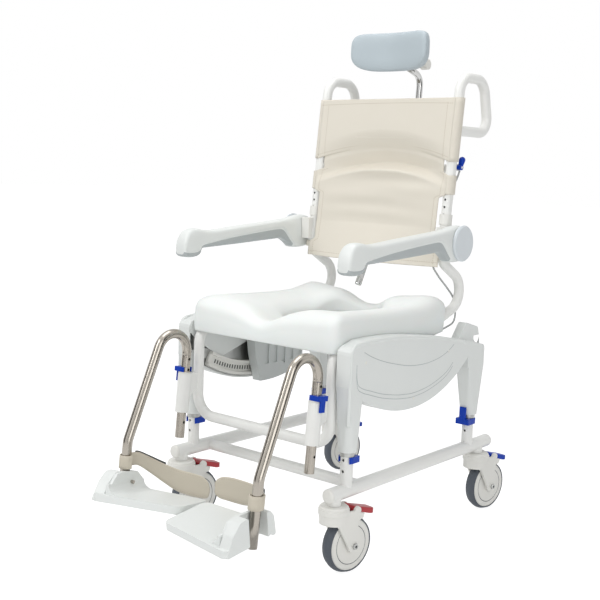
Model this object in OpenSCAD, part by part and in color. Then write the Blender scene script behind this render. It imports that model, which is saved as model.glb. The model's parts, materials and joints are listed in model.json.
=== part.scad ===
// Tilting shower commode chair on four castors, sizes in millimetres.
// The chair faces -Y, Z is up and the floor is at zero.

/* [Base] */
// Distance between the left and right side tubes
track_width = 470; // [430:1:520]
// Distance between the front and rear castor swivels
wheelbase = 600; // [560:1:660]
// Height of the side tubes above the floor
base_z = 180; // [180:1:200]
// Outside size of the side tubes
base_tube_d = 32; // [28:0.5:34]
// Outside size of the cross tube
cross_tube_d = 26; // [20:0.5:28]
// Place of the cross tube along the chair
cross_y = -210; // [-225:1:-150]
// Wall of all the tubes
tube_wall = 2; // [1.5:0.1:2.5]

/* [Height legs] */
// Outside size of the inner legs
leg_d = 28; // [26:0.5:29]
// Place of the front legs along the chair
leg_front_y = -261; // [-265:1:-255]
// Place of the rear legs along the chair
leg_rear_y = 248; // [244:1:252]
// Distance between the height holes
pin_pitch = 25; // [20:1:30]
// Size of the height pins
pin_d = 6; // [5:0.5:7]

/* [Castors] */
// Outside size of the wheels
wheel_d = 127; // [120:1:130]
// Width of the tyres
tyre_w = 31; // [28:1:33]
// Distance of the axle behind the swivel
castor_trail = 42; // [38:1:44]
// Size of the round swivel head
crown_d = 68; // [60:1:72]
// Turn of the castors as they stand
castor_turn = -9; // [-15:1:15]
// Size of the wheel axle
axle_d = 10; // [8:0.5:12]
// Size of the swivel stem
stem_d = 16; // [14:0.5:18]

/* [Fits] */
// Gap between parts that slide or lie beside one another
slide_gap = 0.3; // [0.3:0.05:0.4]
// Gap around turning pins
pin_gap = 0.05; // [0.02:0.01:0.08]

/* [Side covers] */
// Depth of a cover from its inside to its outside
cover_depth = 36; // [34:1:40]
// Wall of the covers
cover_wall = 4; // [3:0.5:5]
// Radius of the arched lower edge
cover_r = 387; // [385:1:390]

/* [Tilt] */
// Place of the tilt centre along the chair
tilt_y = -60; // [-65:1:-55]
// Height of the tilt centre
tilt_z = 720; // [718:1:724]
// Radius of the roller path
track_r = 361; // [360:0.5:362]
// Size of the rollers
roller_d = 21.4; // [20:0.1:22]
// Angle between two rack slots
slot_step = 1.5; // [1.5:0.5:2]
// Angle of the front roller behind the lowest point
roller_front = 3; // [2:1:5]
// Angle of the rear roller behind the lowest point
roller_rear = 20; // [18:1:22]

/* [Seat frame] */
// Distance of the seat and back tubes from the middle
frame_x = 202; // [200:0.5:203]
// Outside size of the seat and back tubes
frame_d = 25; // [22:0.5:25.5]
// Height of the seat rails
rail_z = 490; // [488:1:492]
// Place of the front uprights along the chair
front_y = -281; // [-283:1:-279]
// Height of the front cross bar
bar_z = 275; // [270:1:285]
// Height of the top of the back tubes
back_top_z = 1052; // [1045:1:1060]

/* [Seat pad] */
// Width of the seat pad
pad_w = 439; // [437:1:441]
// Depth of the seat pad
pad_l = 456; // [450:1:458]
// Height of the lower edge of the seat pad
pad_low_z = 478; // [477:1:482]
// Height of the middle of the seat pad
pad_top_z = 553; // [548:1:558]
// Width of the opening in the seat
hole_w = 200; // [180:1:220]
// Depth of the opening in the seat
hole_l = 270; // [250:1:285]

/* [Back cover] */
// Thickness of the cloth
cloth_t = 3; // [2.5:0.1:3.2]
// Height of the upper cloth at the tubes
upper_h = 155; // [152:1:160]
// Lower edge of the lower cloth
lower_low_z = 643; // [640:1:646]

/* [Armrests] */
// Place of the armrest pivot along the chair
arm_y = 124; // [122:1:126]
// Height of the armrest pivot
arm_z = 705; // [702:1:708]
// Width of an armrest
arm_w = 40; // [36:1:44]
// Size of the armrest pivot
arm_pin_d = 16; // [14:0.5:18]
// Size of the round side cap
cap_d = 86; // [80:1:88]

/* [Headrest] */
// Size of the curved headrest bar
post_d = 17; // [15:0.5:18]
// Width of the headrest pad
head_w = 230; // [210:1:240]
// Height of the headrest pad
head_h = 95; // [85:1:100]
// Thickness of the headrest pad
head_t = 38; // [34:1:40]
// Height of the middle of the headrest pad above the back tubes
head_rise = 116; // [112:1:120]

/* [Footrests] */
// Distance of the footrest sockets from the middle
hanger_x = 198; // [196:0.5:200]
// Outside size of the footrest tubes
hanger_d = 22; // [20:0.5:22.5]
// Lean of the socket from upright
hanger_lean = 5.1; // [4:0.1:6]
// Reach of the footplate in front of the socket
hanger_reach = 162; // [155:1:170]
// Slope of the left footplate, toe up
plate_pitch_left = 9; // [4:0.5:9]
// Slope of the right footplate, toe up
plate_pitch_right = -6.5; // [-6.5:0.5:0]
// Turn of the left footplate about its tube
plate_turn_left = 14; // [6:1:14]
// Turn of the right footplate about its tube
plate_turn_right = 0; // [0:1:4]
// Width of a footplate inside its tube
plate_w = 180; // [165:1:181]
// Length of a footplate
plate_l = 142; // [135:1:146]

/* [Hidden] */
$fn = 64;
white = [0.93, 0.94, 0.94];
pale = [0.80, 0.83, 0.84];
grey = [0.62, 0.65, 0.66];
steel = [0.70, 0.69, 0.67];
dark = [0.27, 0.29, 0.32];
blue = [0.15, 0.40, 0.75];
red = [0.80, 0.12, 0.14];
cream = [0.88, 0.85, 0.79];
foam = [0.70, 0.75, 0.78];
// Shift that puts the origin under the middle of the chair
origin_shift = 101.95;
leg_x = track_width / 2;
base_low = base_z - base_tube_d / 2;
// Length of the end caps' plugs, and the ends of the side tubes, clear of the legs
cap_plug = 14;
base_back_y = max(wheelbase / 2 + 46, leg_rear_y + leg_d / 2 + cap_plug + 2);
base_front_y = min(-wheelbase / 2 - 20, leg_front_y - leg_d / 2 - cap_plug - 2);
// Castor levels
wheel_r = wheel_d / 2;
crown_low = wheel_d + 11;
crown_top = base_low - 7.5;
hub_low = wheel_d + 4;
cheek_in = tyre_w / 2 + 2.7;
cheek_t = 6;
cheek_out = cheek_in + cheek_t;
pedal_y = castor_trail + 8;
pedal_z = crown_low + 3;
pedal_pin_d = 7;
// Legs and covers
sleeve_in_d = leg_d + 2 * slide_gap;
sleeve_d = sleeve_in_d + 4.4;
sleeve_low = 258;
sleeve_top_front = 478;
sleeve_top_rear = 436;
leg_top_front = 448;
leg_top_rear = 404;
clip_low = 243.5;
clip_top = sleeve_low - slide_gap;
pin_level = 250;
cover_in = leg_x - 12;
cover_out = cover_in + cover_depth;
cover_front = leg_front_y - 34;
cover_back = leg_rear_y + 20;
// Weld rings of the bent tubes: gap inside, half length and height
weld_gap = 0.2;
weld_l = 0.8;
weld_h = 0.05;
// Tilt track
rim_in = track_r - roller_d / 2 - slide_gap;
rim_out = track_r + roller_d / 2 + slide_gap;
track_web = cover_in - 3;
web_in = cover_in + 3;
carriage_out = cover_in - 12;
carriage_in = carriage_out - 26;
roller_axle_d = 8;
lock_angle = 12;
// Seat tube
rear_low = [132, 657];
rear_mid = [290, 569];
rear_low_end = [63, rail_z];
back_lean = 6.07;
back_dir = [sin(back_lean), cos(back_lean)];
back_top = rear_low + back_dir * (back_top_z - rear_low[1]) / cos(back_lean);
join_z = bar_z + 105;
side_path = [back_top, rear_low, rear_mid, rear_low_end, [front_y, rail_z], [front_y, join_z]];
side_bend = [0, 40, 46, 80, 45, 0];
front_path = [[-frame_x, join_z], [-frame_x, bar_z], [frame_x, bar_z], [frame_x, join_z]];
front_bend = [0, 50, 50, 0];
handle_low = back_top_z - 80;
bow_z = 880;
bow_d = 22;
bow_y = 201;
sleeve_r = frame_d / 2 + 0.3;
sheet_t = cloth_t - 0.6;
cloth_front = sleeve_r + cloth_t - 0.3;
// Levels of the cloths and the headrest, from the top of the back tubes
upper_low_z = back_top_z - upper_h;
lower_top_z = upper_low_z + 58;
strap_top_z = upper_low_z - 33;
strap_low_z = strap_top_z - 46;
sleeve_top_z = lower_low_z + 35;
head_z = back_top_z + head_rise;
// Headrest bar in the middle plane: low end, corner behind the cloth, bend below the pad
bar_low = [72, 585];
bar_mid = [bar_low[0] + (back_top_z - 22 - bar_low[1]) * 232 / 445, back_top_z - 22];
bar_bend = [bar_mid[0] + 5, head_z - 50];
eye = [bar_bend[0] - 73, head_z - 28];
eye_pin_d = 10;
bar_path = [bar_low, bar_mid, bar_bend, eye];
// Footrest frame
hanger_y = -325.7;
hanger_z = 430;
socket_in_d = hanger_d + 5;
socket_d = socket_in_d + 5;
bush_in_d = hanger_d + 2 * slide_gap;
socket_low = -142;
socket_top = -50;
knee = [hanger_reach - 2, -196];
toe = [hanger_reach + 1, -336];
arch_r = 46.4;
plate_pin_h = -286;
plate_pin_d = 8;
// Points of the tilt cable from the lever to the lock
cable_points = [[213, 177, 876], [203, 183, 857], [188, 179, 822], [184, 172, 775], [182, 165, 730],
  [177, 156, 690],
  [167, 150, 648], [171, 172, 617], [182, 198, 587], [184, 227, 560], [184, 242, 528], [184, 236, 498],
  [182, 205, 486], [178, 160, 474], [174, 110, 452], [171, 60, 415], [166, 32, 388], [168, 17, 369]];
// Points of a heel strap from the tube inward: inward, forward, share of the drop, height of the band
strap_points = [[17.5, 0, 0, 30], [13, 9, 0, 30], [2, 13.5, 0, 30], [-9, 9, 0, 30], [-13.5, -2, 0, 30],
  [-9, -13, 0, 30], [1.4, -20, 0, 30], [14, -32, 0.01, 30], [36, -53, 0.32, 36], [62, -69, 0.66, 44],
  [95, -75, 0.92, 52], [130, -77, 1, 54], [158, -76, 1, 51], [180, -70, 1, 46]];

// Small helpers for paths and outlines
function unit(a, b) = (b - a) / norm(b - a);
function seg(p, i) = unit(p[i], p[i + 1]);
function ang(v) = atan2(v[1], v[0]);
function wrap(a) = a > 180 ? a - 360 : a < -180 ? a + 360 : a;
function turn(p, i) = wrap(ang(seg(p, i)) - ang(seg(p, i - 1)));
function lead(p, r, i) = (i == 0 || i == len(p) - 1) ? 0 : r[i] * tan(abs(turn(p, i)) / 2);
function corner(a, b, c, r, n) =
  let (u = unit(b, a), v = unit(b, c), h = acos(u * v) / 2)
  let (m = unit([0, 0], u + v), o = b + m * r / sin(h), s = b + u * r / tan(h), e = b + v * r / tan(h))
  let (a0 = ang(s - o), w = wrap(ang(e - o) - a0))
  [for (k = [0 : n]) o + r * [cos(a0 + w * k / n), sin(a0 + w * k / n)]];
function softened(p, r, n = 5) =
  [for (i = [0 : len(p) - 1])
    each corner(p[(i + len(p) - 1) % len(p)], p[i], p[(i + 1) % len(p)], is_list(r) ? r[i] : r, n)];
function curve_at(p, t) =
  let (i = min(floor(t), len(p) - 2), f = t - i)
  let (a = p[max(i - 1, 0)], b = p[i], c = p[i + 1], d = p[min(i + 2, len(p) - 1)])
  0.5 * (2 * b + f * (c - a) + f * f * (2 * a - 5 * b + 4 * c - d) + f * f * f * (3 * b - a - 3 * c + d));
function step_up(x, a, b) = let (t = max(0, min(1, (x - a) / (b - a)))) t * t * (3 - 2 * t);
function back_y(z) = rear_low[0] + (z - rear_low[1]) * tan(back_lean);

module here() translate([0, origin_shift, 0]) children();
module side(s) mirror([s < 0 ? 1 : 0, 0, 0]) children();
module in_yz() rotate([90, 0, 90]) children();
module in_xz() rotate([90, 0, 0]) children();
module rod_x(h, d) rotate([0, 90, 0]) cylinder(h = h, d = d, center = true);
module along(a, v) translate([a[0], a[1], 0]) rotate([0, 0, ang(v)]) rotate([0, 90, 0]) children();

// Round bar along a flat path with bends, a weld ring over every meeting of straight and bend
module bent(p, r, d) {
  last = len(p) - 2;
  for (i = [0 : last]) {
    d0 = lead(p, r, i) + (i == 0 ? 0 : weld_gap);
    d1 = lead(p, r, i + 1) + (i == last ? 0 : weld_gap);
    along(p[i] + seg(p, i) * d0, seg(p, i)) cylinder(h = norm(p[i + 1] - p[i]) - d0 - d1, d = d);
    if (i > 0) along(p[i] + seg(p, i) * lead(p, r, i), seg(p, i))
      cylinder(h = 2 * weld_l, d = d + 2 * weld_h, center = true);
    if (i < last) along(p[i + 1] - seg(p, i) * lead(p, r, i + 1), seg(p, i))
      cylinder(h = 2 * weld_l, d = d + 2 * weld_h, center = true);
  }
  for (i = [1 : 1 : last]) {
    t = turn(p, i);
    a = p[i] - seg(p, i - 1) * lead(p, r, i);
    n = [-seg(p, i - 1)[1], seg(p, i - 1)[0]] * (t > 0 ? 1 : -1);
    c = a + n * r[i];
    g = weld_gap / r[i] * 57.3;
    translate([c[0], c[1], 0]) rotate([0, 0, ang(a - c) + min(t, 0) + g])
      rotate_extrude(angle = abs(t) - 2 * g) translate([r[i], 0]) circle(d = d);
  }
}

// Closed skin from rings of points, all rings alike
module skin(rings) {
  m = len(rings);
  n = len(rings[0]);
  pts = [for (r = rings) each r];
  sides = [for (i = [0 : m - 2], j = [0 : n - 1]) let (k = (j + 1) % n)
    each [[i * n + j, i * n + k, (i + 1) * n + k], [i * n + j, (i + 1) * n + k, (i + 1) * n + j]]];
  first = [for (j = [0 : n / 2 - 2]) each [[j, n - 2 - j, j + 1], [j, n - 1 - j, n - 2 - j]]];
  e = (m - 1) * n;
  last = [for (j = [0 : n / 2 - 2])
    each [[e + j, e + j + 1, e + n - 2 - j], [e + j, e + n - 2 - j, e + n - 1 - j]]];
  polyhedron(points = pts, faces = concat(sides, first, last));
}

// Closed ring skin, the last ring joins the first
module loop_skin(rings) {
  m = len(rings);
  n = len(rings[0]);
  pts = [for (r = rings) each r];
  polyhedron(points = pts, faces = [for (i = [0 : m - 1], j = [0 : n - 1])
    let (k = (j + 1) % n, q = (i + 1) % m)
    each [[i * n + j, i * n + k, q * n + k], [i * n + j, q * n + k, q * n + j]]]);
}

// Base
module base_solids(shrink) {
  for (s = [-1, 1])
    translate([s * leg_x, base_front_y, base_z]) rotate([-90, 0, 0])
      cylinder(h = base_back_y - base_front_y, d = base_tube_d - shrink);
}

module base_frame() color(white) here() difference() {
  union() {
    base_solids(0);
    translate([0, cross_y, base_z]) rod_x(track_width, cross_tube_d);
    for (s = [-1, 1], f = [0, 1])
      translate([s * leg_x, f == 0 ? leg_front_y : leg_rear_y, base_z])
        cylinder(h = (f == 0 ? leg_top_front : leg_top_rear) - base_z, d = leg_d);
    for (s = [-1, 1], f = [-1, 1]) translate([s * leg_x, f * wheelbase / 2, 0]) {
      translate([0, 0, crown_top + 0.5]) cylinder(h = base_z - crown_top, d = base_tube_d - 2);
      translate([0, 0, hub_low + 1]) cylinder(h = base_z - hub_low, d = stem_d);
    }
  }
  base_solids(2 * tube_wall);
  translate([0, cross_y, base_z]) rod_x(track_width - base_tube_d, cross_tube_d - 2 * tube_wall);
  for (s = [-1, 1], f = [0, 1])
    translate([s * leg_x, f == 0 ? leg_front_y : leg_rear_y, 0]) {
      translate([0, 0, base_z + base_tube_d / 2 + 3]) cylinder(h = 300, d = leg_d - 2 * tube_wall);
      for (k = [-1 : 4]) translate([0, 0, pin_level + k * pin_pitch]) rotate([90, 0, 0])
        cylinder(h = leg_d + 4, d = pin_d + 0.6, center = true);
    }
}

module base_end_caps() color(pale) here() for (s = [-1, 1], e = [0, 1])
  translate([s * leg_x, e == 0 ? base_front_y : base_back_y, base_z]) rotate([e == 0 ? 90 : -90, 0, 0]) {
    rotate_extrude() polygon([[0, 0], [base_tube_d / 2, 0], [base_tube_d / 2 - 0.6, 2.5],
      [base_tube_d / 2 - 3, 5.5],
      [base_tube_d / 2 - 7, 7], [0, 8]]);
    translate([0, 0, -cap_plug]) cylinder(h = cap_plug + 0.5, d = base_tube_d - 2 * tube_wall - 0.2);
  }

// Castors, drawn about the swivel with the floor at zero
module castor(s, f) here() translate([s * leg_x, f * wheelbase / 2, 0]) rotate([0, 0,
  castor_turn]) children();

module fork_shape() difference() {
  union() {
    translate([0, 0, crown_low]) rotate_extrude()
      polygon([[0, 0], [crown_d / 2 - 1, 0], [crown_d / 2, 1], [crown_d / 2, crown_top - crown_low - 7],
        [crown_d / 2 - 2, crown_top - crown_low - 6], [crown_d / 2 - 2, crown_top - crown_low - 3],
        [crown_d / 2 - 5, crown_top - crown_low], [0, crown_top - crown_low]]);
    translate([0, 0, crown_low - 20]) linear_extrude(24) difference() {
      circle(d = crown_d - 5);
      translate([-crown_d, 5]) square([2 * crown_d, crown_d]);
    }
    for (c = [-1, 1]) translate([c * (cheek_in + cheek_t / 2), 0, 0]) in_yz()
      linear_extrude(cheek_t, center = true) {
        polygon([[-22, crown_low + 4], [pedal_y - 2, crown_low + 4], [castor_trail + 15, wheel_r],
          [castor_trail - 15, wheel_r - 3]]);
        polygon([[pedal_y - 12, crown_low + 2], [pedal_y + 20, crown_low - 6], [pedal_y + 17, crown_low - 15],
          [pedal_y - 8, crown_low - 24]]);
        translate([castor_trail, wheel_r]) circle(r = 15.5);
        translate([pedal_y, pedal_z]) circle(r = 9);
      }
    translate([0, castor_trail, wheel_r]) rod_x(2 * cheek_out + 2, axle_d);
    for (c = [-1, 1]) translate([c * (cheek_out + 1), castor_trail, wheel_r]) rod_x(2, axle_d + 7);
    translate([0, pedal_y, pedal_z]) rod_x(2 * cheek_out, pedal_pin_d);
  }
  translate([0, 0, crown_low - 30]) cylinder(h = 60, d = stem_d + 2 * pin_gap);
}

// Wheel face with a fine groove, and a tread that stands out all round
rim_r = wheel_r - 6.5;
face_w = tyre_w / 2 - 1;
function wheel_half() = [[axle_d / 2 + pin_gap, cheek_in - 0.7], [13, cheek_in - 0.7], [14, face_w - 1],
  [rim_r - 15, face_w],
  [rim_r - 14.6, face_w - 1.6], [rim_r - 13.6, face_w - 1.6], [rim_r - 13.2, face_w], [rim_r - 2,
    face_w - 0.6], [rim_r, face_w - 2.5]];
module wheel_shape() translate([0, castor_trail, wheel_r]) rotate([0, 90, 0]) rotate_extrude()
  polygon(concat([for (p = wheel_half()) p], [for (i = [8 : -1 : 0]) [wheel_half()[i][0],
    -wheel_half()[i][1]]]));

module tyre_shape() translate([0, castor_trail, wheel_r]) rotate([0, 90, 0]) rotate_extrude() intersection() {
  translate([rim_r + 0.2, -tyre_w / 2]) square([wheel_r - rim_r - 0.2, tyre_w]);
  translate([wheel_r - tyre_w / 2 - 1.5, 0]) circle(r = tyre_w / 2 + 1.5);
}

module pedal_shape() difference() {
  union() {
    translate([0, pedal_y, pedal_z]) rod_x(2 * cheek_in - 2, pedal_pin_d + 7);
    hull() {
      translate([0, pedal_y + 4, pedal_z + 1]) cube([28, 4, 10], center = true);
      for (c = [-9, 9]) translate([c, pedal_y + 50, pedal_z - 12]) cylinder(h = 10, r = 8, center = true,
        $fn = 24);
    }
  }
  translate([0, pedal_y, pedal_z]) rod_x(80, pedal_pin_d + 2 * pin_gap);
}

module castor_fork_fl() color(pale) castor(-1, -1) fork_shape();
module castor_fork_fr() color(pale) castor(1, -1) fork_shape();
module castor_fork_rl() color(pale) castor(-1, 1) fork_shape();
module castor_fork_rr() color(pale) castor(1, 1) fork_shape();
module castor_wheel_fl() color(pale) castor(-1, -1) wheel_shape();
module castor_wheel_fr() color(pale) castor(1, -1) wheel_shape();
module castor_wheel_rl() color(pale) castor(-1, 1) wheel_shape();
module castor_wheel_rr() color(pale) castor(1, 1) wheel_shape();
module castor_tyre_fl() color(dark) castor(-1, -1) tyre_shape();
module castor_tyre_fr() color(dark) castor(1, -1) tyre_shape();
module castor_tyre_rl() color(dark) castor(-1, 1) tyre_shape();
module castor_tyre_rr() color(dark) castor(1, 1) tyre_shape();
module castor_pedal_fl() color(red) castor(-1, -1) pedal_shape();
module castor_pedal_fr() color(red) castor(1, -1) pedal_shape();
module castor_pedal_rl() color(blue) castor(-1, 1) pedal_shape();
module castor_pedal_rr() color(blue) castor(1, 1) pedal_shape();

// Side frames, drawn for the +X side
module side_frame_shape() difference() {
  union() {
    translate([leg_x, leg_front_y, sleeve_low]) cylinder(h = sleeve_top_front - sleeve_low, d = sleeve_d);
    translate([leg_x, leg_rear_y, sleeve_low]) cylinder(h = sleeve_top_rear - sleeve_low, d = sleeve_d);
    translate([web_in, 0, 0]) in_yz() linear_extrude(5) {
      translate([leg_front_y, 400]) square([leg_rear_y - leg_front_y, 25]);
      intersection() {
        translate([leg_front_y + 27, 330]) square([leg_rear_y - leg_front_y - 80, 80]);
        translate([tilt_y, tilt_z]) circle(r = cover_r - cover_wall - 1, $fn = 128);
      }
    }
  }
  for (y = [leg_front_y, leg_rear_y]) translate([leg_x, y, sleeve_low - 1]) cylinder(h = 300,
    d = sleeve_in_d);
}

module side_frame_left() color(steel) here() side(-1) side_frame_shape();
module side_frame_right() color(steel) here() side(1) side_frame_shape();

// Side covers
function cover_points(t) = softened([[cover_front + t, 320], [cover_front + t, 494 - t], [-246, 508 - t],
  [-192, 509 - t],
  [-115, 507 - t], [-34, 499 - t], [53, 488 - t], [121, 477 - t], [200, 462 - t], [cover_back - t, 446 - t],
  [cover_back - t, 320]], [1, 16, 20, 20, 20, 20, 20, 20, 20, 12, 1], 3);

module cover_area(t) intersection() {
  polygon(cover_points(t));
  union() {
    translate([tilt_y, tilt_z]) circle(r = cover_r - t, $fn = 128);
    if (t == 0) translate([190, 395]) square([100, 60]);
  }
}

module cover_shape() difference() {
  union() {
    difference() {
      translate([cover_in, 0, 0]) in_yz() linear_extrude(cover_depth) cover_area(0);
      translate([cover_in - 1, 0,
        0]) in_yz() linear_extrude(cover_depth - cover_wall + 1) cover_area(cover_wall);
    }
    translate([cover_in, 0, 0]) in_yz() linear_extrude(cover_depth - 14)
      polygon(softened([[150, 452], [196, 507], [254, 491], [262, 466], [cover_back - 2, 440]], [2, 9, 9,
        9, 2], 4));
    translate([cover_in - 1, 0, 0]) in_yz() linear_extrude(2) intersection() {
      polygon([[-293, 440], [-243, 380], [-91, 428], [60, 444], [205, 444], [205, 457], [121, 474], [53, 485],
        [-34, 496], [-115, 504], [-192, 506], [-246, 505], [-293, 490]]);
      translate([tilt_y, tilt_z]) circle(r = rim_in - 9, $fn = 128);
    }
    hull() {
      translate([cover_in, cover_front, 424]) cube([cover_depth, 52, 2]);
      translate([leg_x, leg_front_y, 268]) cylinder(h = 2, r = 20.5, $fn = 40);
    }
    hull() {
      translate([cover_in, 196, 396]) cube([cover_depth, cover_back - 196, 2]);
      translate([leg_x, leg_rear_y, 268]) cylinder(h = 2, r = 20.5, $fn = 40);
    }
  }
  for (y = [leg_front_y, leg_rear_y]) translate([leg_x, y, 200]) cylinder(h = 270,
    d = sleeve_d + 2 * slide_gap);
  translate([leg_x, leg_front_y, 300]) cylinder(h = sleeve_top_front - 299, d = sleeve_d + 2 * slide_gap);
  translate([web_in - 0.3, leg_front_y, 399.7]) cube([5.6, leg_rear_y - leg_front_y, 25.6]);
}

module side_cover_left() color(white) here() side(-1) cover_shape();
module side_cover_right() color(white) here() side(1) cover_shape();

// Arc track with a row of slots, and the pieces that run in it
module on_arc(a) translate([0, tilt_y, tilt_z]) rotate([a, 0, 0]) translate([0, 0, -track_r]) children();

module track_shape() difference() {
  translate([0, tilt_y, tilt_z]) rotate([0, 0, -90]) rotate([90, 0, 0]) rotate([0, 0,
    -118]) rotate_extrude(angle = 56, $fn = 180) {
    translate([rim_in - 7, -web_in]) square([rim_out - rim_in + 14, web_in - track_web]);
    translate([rim_in - 7, -track_web - 0.1]) square([7, 7.1]);
    translate([rim_out, -track_web - 0.1]) square([7, 7.1]);
  }
  for (k = [-16 : 10]) on_arc(k * slot_step) translate([track_web + 3, 0, 0]) cube([8, 5.2, 10],
    center = true);
}

module tilt_track_left() color(pale) here() side(-1) track_shape();
module tilt_track_right() color(pale) here() side(1) track_shape();

module carriage_shape() difference() {
  union() {
    translate([carriage_in, 0, 0]) in_yz() linear_extrude(carriage_out - carriage_in) intersection() {
      polygon(softened([[-74, 320], [88, 320], [88, rail_z - 14], [-104, rail_z - 14], [-104, 440], [-98,
        400]], [2, 2, 6, 6, 60, 60], 5));
      translate([tilt_y, tilt_z]) circle(r = 392, $fn = 128);
    }
    translate([carriage_in + 4, -104, rail_z - 20]) cube([carriage_out - carriage_in - 8, 192, 12]);
    for (a = [roller_front, roller_rear]) on_arc(a)
      translate([carriage_out + 4, 0, 0]) rod_x(9, roller_axle_d);
  }
  translate([frame_x, 0, rail_z]) rotate([90, 0, 0]) cylinder(h = 500, d = frame_d + 0.2, center = true);
  translate([frame_x, 0, 0]) in_yz() bent(side_path, side_bend, frame_d + 0.2);
  for (k = [0 : 4]) translate([carriage_in - 1, -60 + k * 32, 370]) cube([5, 14, 92]);
  on_arc(lock_angle) rod_x(700, 4.8 + 2 * slide_gap);
}

module tilt_carriage_left() color(grey) here() side(-1) carriage_shape();
module tilt_carriage_right() color(grey) here() side(1) carriage_shape();

module roller_shape(a) on_arc(a) translate([carriage_out + 5.5, 0, 0]) difference() {
  rod_x(6, roller_d);
  rod_x(8, roller_axle_d + 2 * pin_gap);
}

module tilt_rollers_front() color(dark) here() for (s = [-1, 1]) side(s) roller_shape(roller_front);
module tilt_rollers_rear() color(dark) here() for (s = [-1, 1]) side(s) roller_shape(roller_rear);

module tilt_lock() color(steel) here() on_arc(lock_angle) {
  translate([carriage_in - 6, 0, 0]) rotate([0, 90, 0]) cylinder(h = track_web - 0.4 - carriage_in + 6,
    d = 4.8);
  translate([carriage_in - 6, 0, 0]) rotate([0, 90, 0]) cylinder(h = 5, d = 11);
}

// Clips with pins, open on one side so that they pull off
module clip_shape(tube_d, low, high, reach, tongue_top) difference() {
  union() {
    translate([0, 0, low]) cylinder(h = high - low, d = tube_d + 9);
    translate([0, -(tube_d + 9) / 2, low]) cube([reach, tube_d + 9, high - low]);
    translate([reach - 3.4, -9, low]) cube([3.4, 18, tongue_top - low]);
  }
  translate([0, 0, low - 1]) cylinder(h = high - low + 2, d = tube_d + 2 * slide_gap + 0.2);
  translate([-60, -tube_d / 2 - slide_gap - 0.1, low - 1]) cube([60, tube_d + 2 * slide_gap + 0.2,
    high - low + 2]);
  translate([-60 - tube_d / 2 + 3, -60, low - 1]) cube([60, 120, high - low + 2]);
}

module height_clips_front() color(blue) here() for (s = [-1, 1]) translate([s * leg_x, leg_front_y,
  0]) rotate([0, 0, 90])
  clip_shape(leg_d, clip_low, clip_top, 21, clip_top);
module height_clips_rear() color(blue) here() for (s = [-1, 1]) translate([s * leg_x, leg_rear_y,
  0]) rotate([0, 0, -90])
  clip_shape(leg_d, clip_low, clip_top, 29.5, 288);

// Seat and back frame
module seat_tubes(shrink) {
  for (s = [-1, 1]) translate([s * frame_x, 0, 0]) in_yz() bent(side_path, side_bend, frame_d - shrink);
  translate([0, front_y, 0]) in_xz() bent(front_path, front_bend, frame_d - shrink);
}

module bow(d) translate([0, 0, bow_z])
  bent([[-frame_x, back_y(bow_z)], [-150, bow_y], [150, bow_y], [frame_x, back_y(bow_z)]], [0, 40, 40, 0], d);

module seat_frame() color(white) here() difference() {
  union() {
    seat_tubes(0);
    bow(bow_d);
    translate([frame_x - 4, back_y(884) + 8, 876]) cube([9, 20, 16]);
    translate([frame_x + 9, back_y(884) + 21, 884]) rod_x(17, 6);
  }
  seat_tubes(2 * tube_wall);
  for (s = [-1, 1], k = [0 : 2]) translate([s * frame_x, back_y(788), 770 + 18 * k]) rotate([90, 0, 0])
    cylinder(h = 40, d = 6);
}

module back_line(d) for (s = [-1, 1]) translate([s * frame_x, 0, 0]) in_yz()
  bent([back_top + back_dir * 0, rear_low + back_dir * 30], [0, 0], d);

handle_path = [back_top, back_top + back_dir * 49, [288, back_top_z + 49], [321, handle_low],
  [back_y(handle_low) + 3, handle_low]];
handle_bend = [0, 42, 45, 34, 0];
module handle_shape() difference() {
  translate([frame_x, 0, 0]) in_yz() difference() {
    bent(handle_path, handle_bend, frame_d);
    bent(handle_path, handle_bend, frame_d - 2 * tube_wall);
  }
  back_line(frame_d + 0.2);
}

module push_handle_left() color(white) here() side(-1) handle_shape();
module push_handle_right() color(white) here() side(1) handle_shape();

// Footrest sockets in a leaning frame: X outward, -Y forward, Z along the socket
module lean(s) here() translate([s * hanger_x, hanger_y, hanger_z]) rotate([-hanger_lean, 0, 0]) children();

module footrest_sockets() color(white) difference() {
  for (s = [-1, 1]) {
    lean(s) translate([0, 0, socket_low]) cylinder(h = socket_top - socket_low, d = socket_d);
    lean(s) translate([-3, 0, socket_low]) rotate([90, 0, 90]) linear_extrude(6)
      polygon([[0, 22], [0, 92], [52, 92], [52, 60]]);
  }
  for (s = [-1, 1]) {
    lean(s) translate([0, 0, socket_low - 1]) cylinder(h = 140, d = socket_in_d);
    here() translate([s * frame_x, front_y, 200]) cylinder(h = 240, d = frame_d + 0.2);
  }
}

module bush_shape() difference() {
  union() {
    translate([0, 0, socket_low + 2]) cylinder(h = socket_top - socket_low - 2,
      d = socket_in_d - 2 * pin_gap);
    translate([0, 0, socket_top + slide_gap]) cylinder(h = 3, d = socket_d - 1);
    translate([0, 0, socket_top - 1]) cylinder(h = 3, d = socket_in_d - 2 * pin_gap);
  }
  translate([0, 0, socket_low]) cylinder(h = 160, d = bush_in_d);
}

module hanger_bush_left() color(pale) lean(-1) bush_shape();
module hanger_bush_right() color(pale) lean(1) bush_shape();

function hanger_path() = let (d = unit(knee, [101.6 * hanger_reach / 162, -21]), t = knee[0] / d[0])
  [[0, -203], [0, knee[1] - t * d[1]], knee, toe];

module hanger_shape() difference() {
  rotate([90, 0, -90]) bent(hanger_path(), [0, arch_r, 40, 0], hanger_d);
  rotate([90, 0, -90]) bent(hanger_path(), [0, arch_r, 40, 0], hanger_d - 2 * tube_wall);
  for (k = [-6 : 0]) translate([0, 0, -16 + k * pin_pitch]) rod_x(hanger_d + 4, pin_d + 0.6);
}

module hanger_pin() translate([hood_in / 2 - 5, 0, 0]) rod_x(-hood_in + 20, plate_pin_d);

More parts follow.
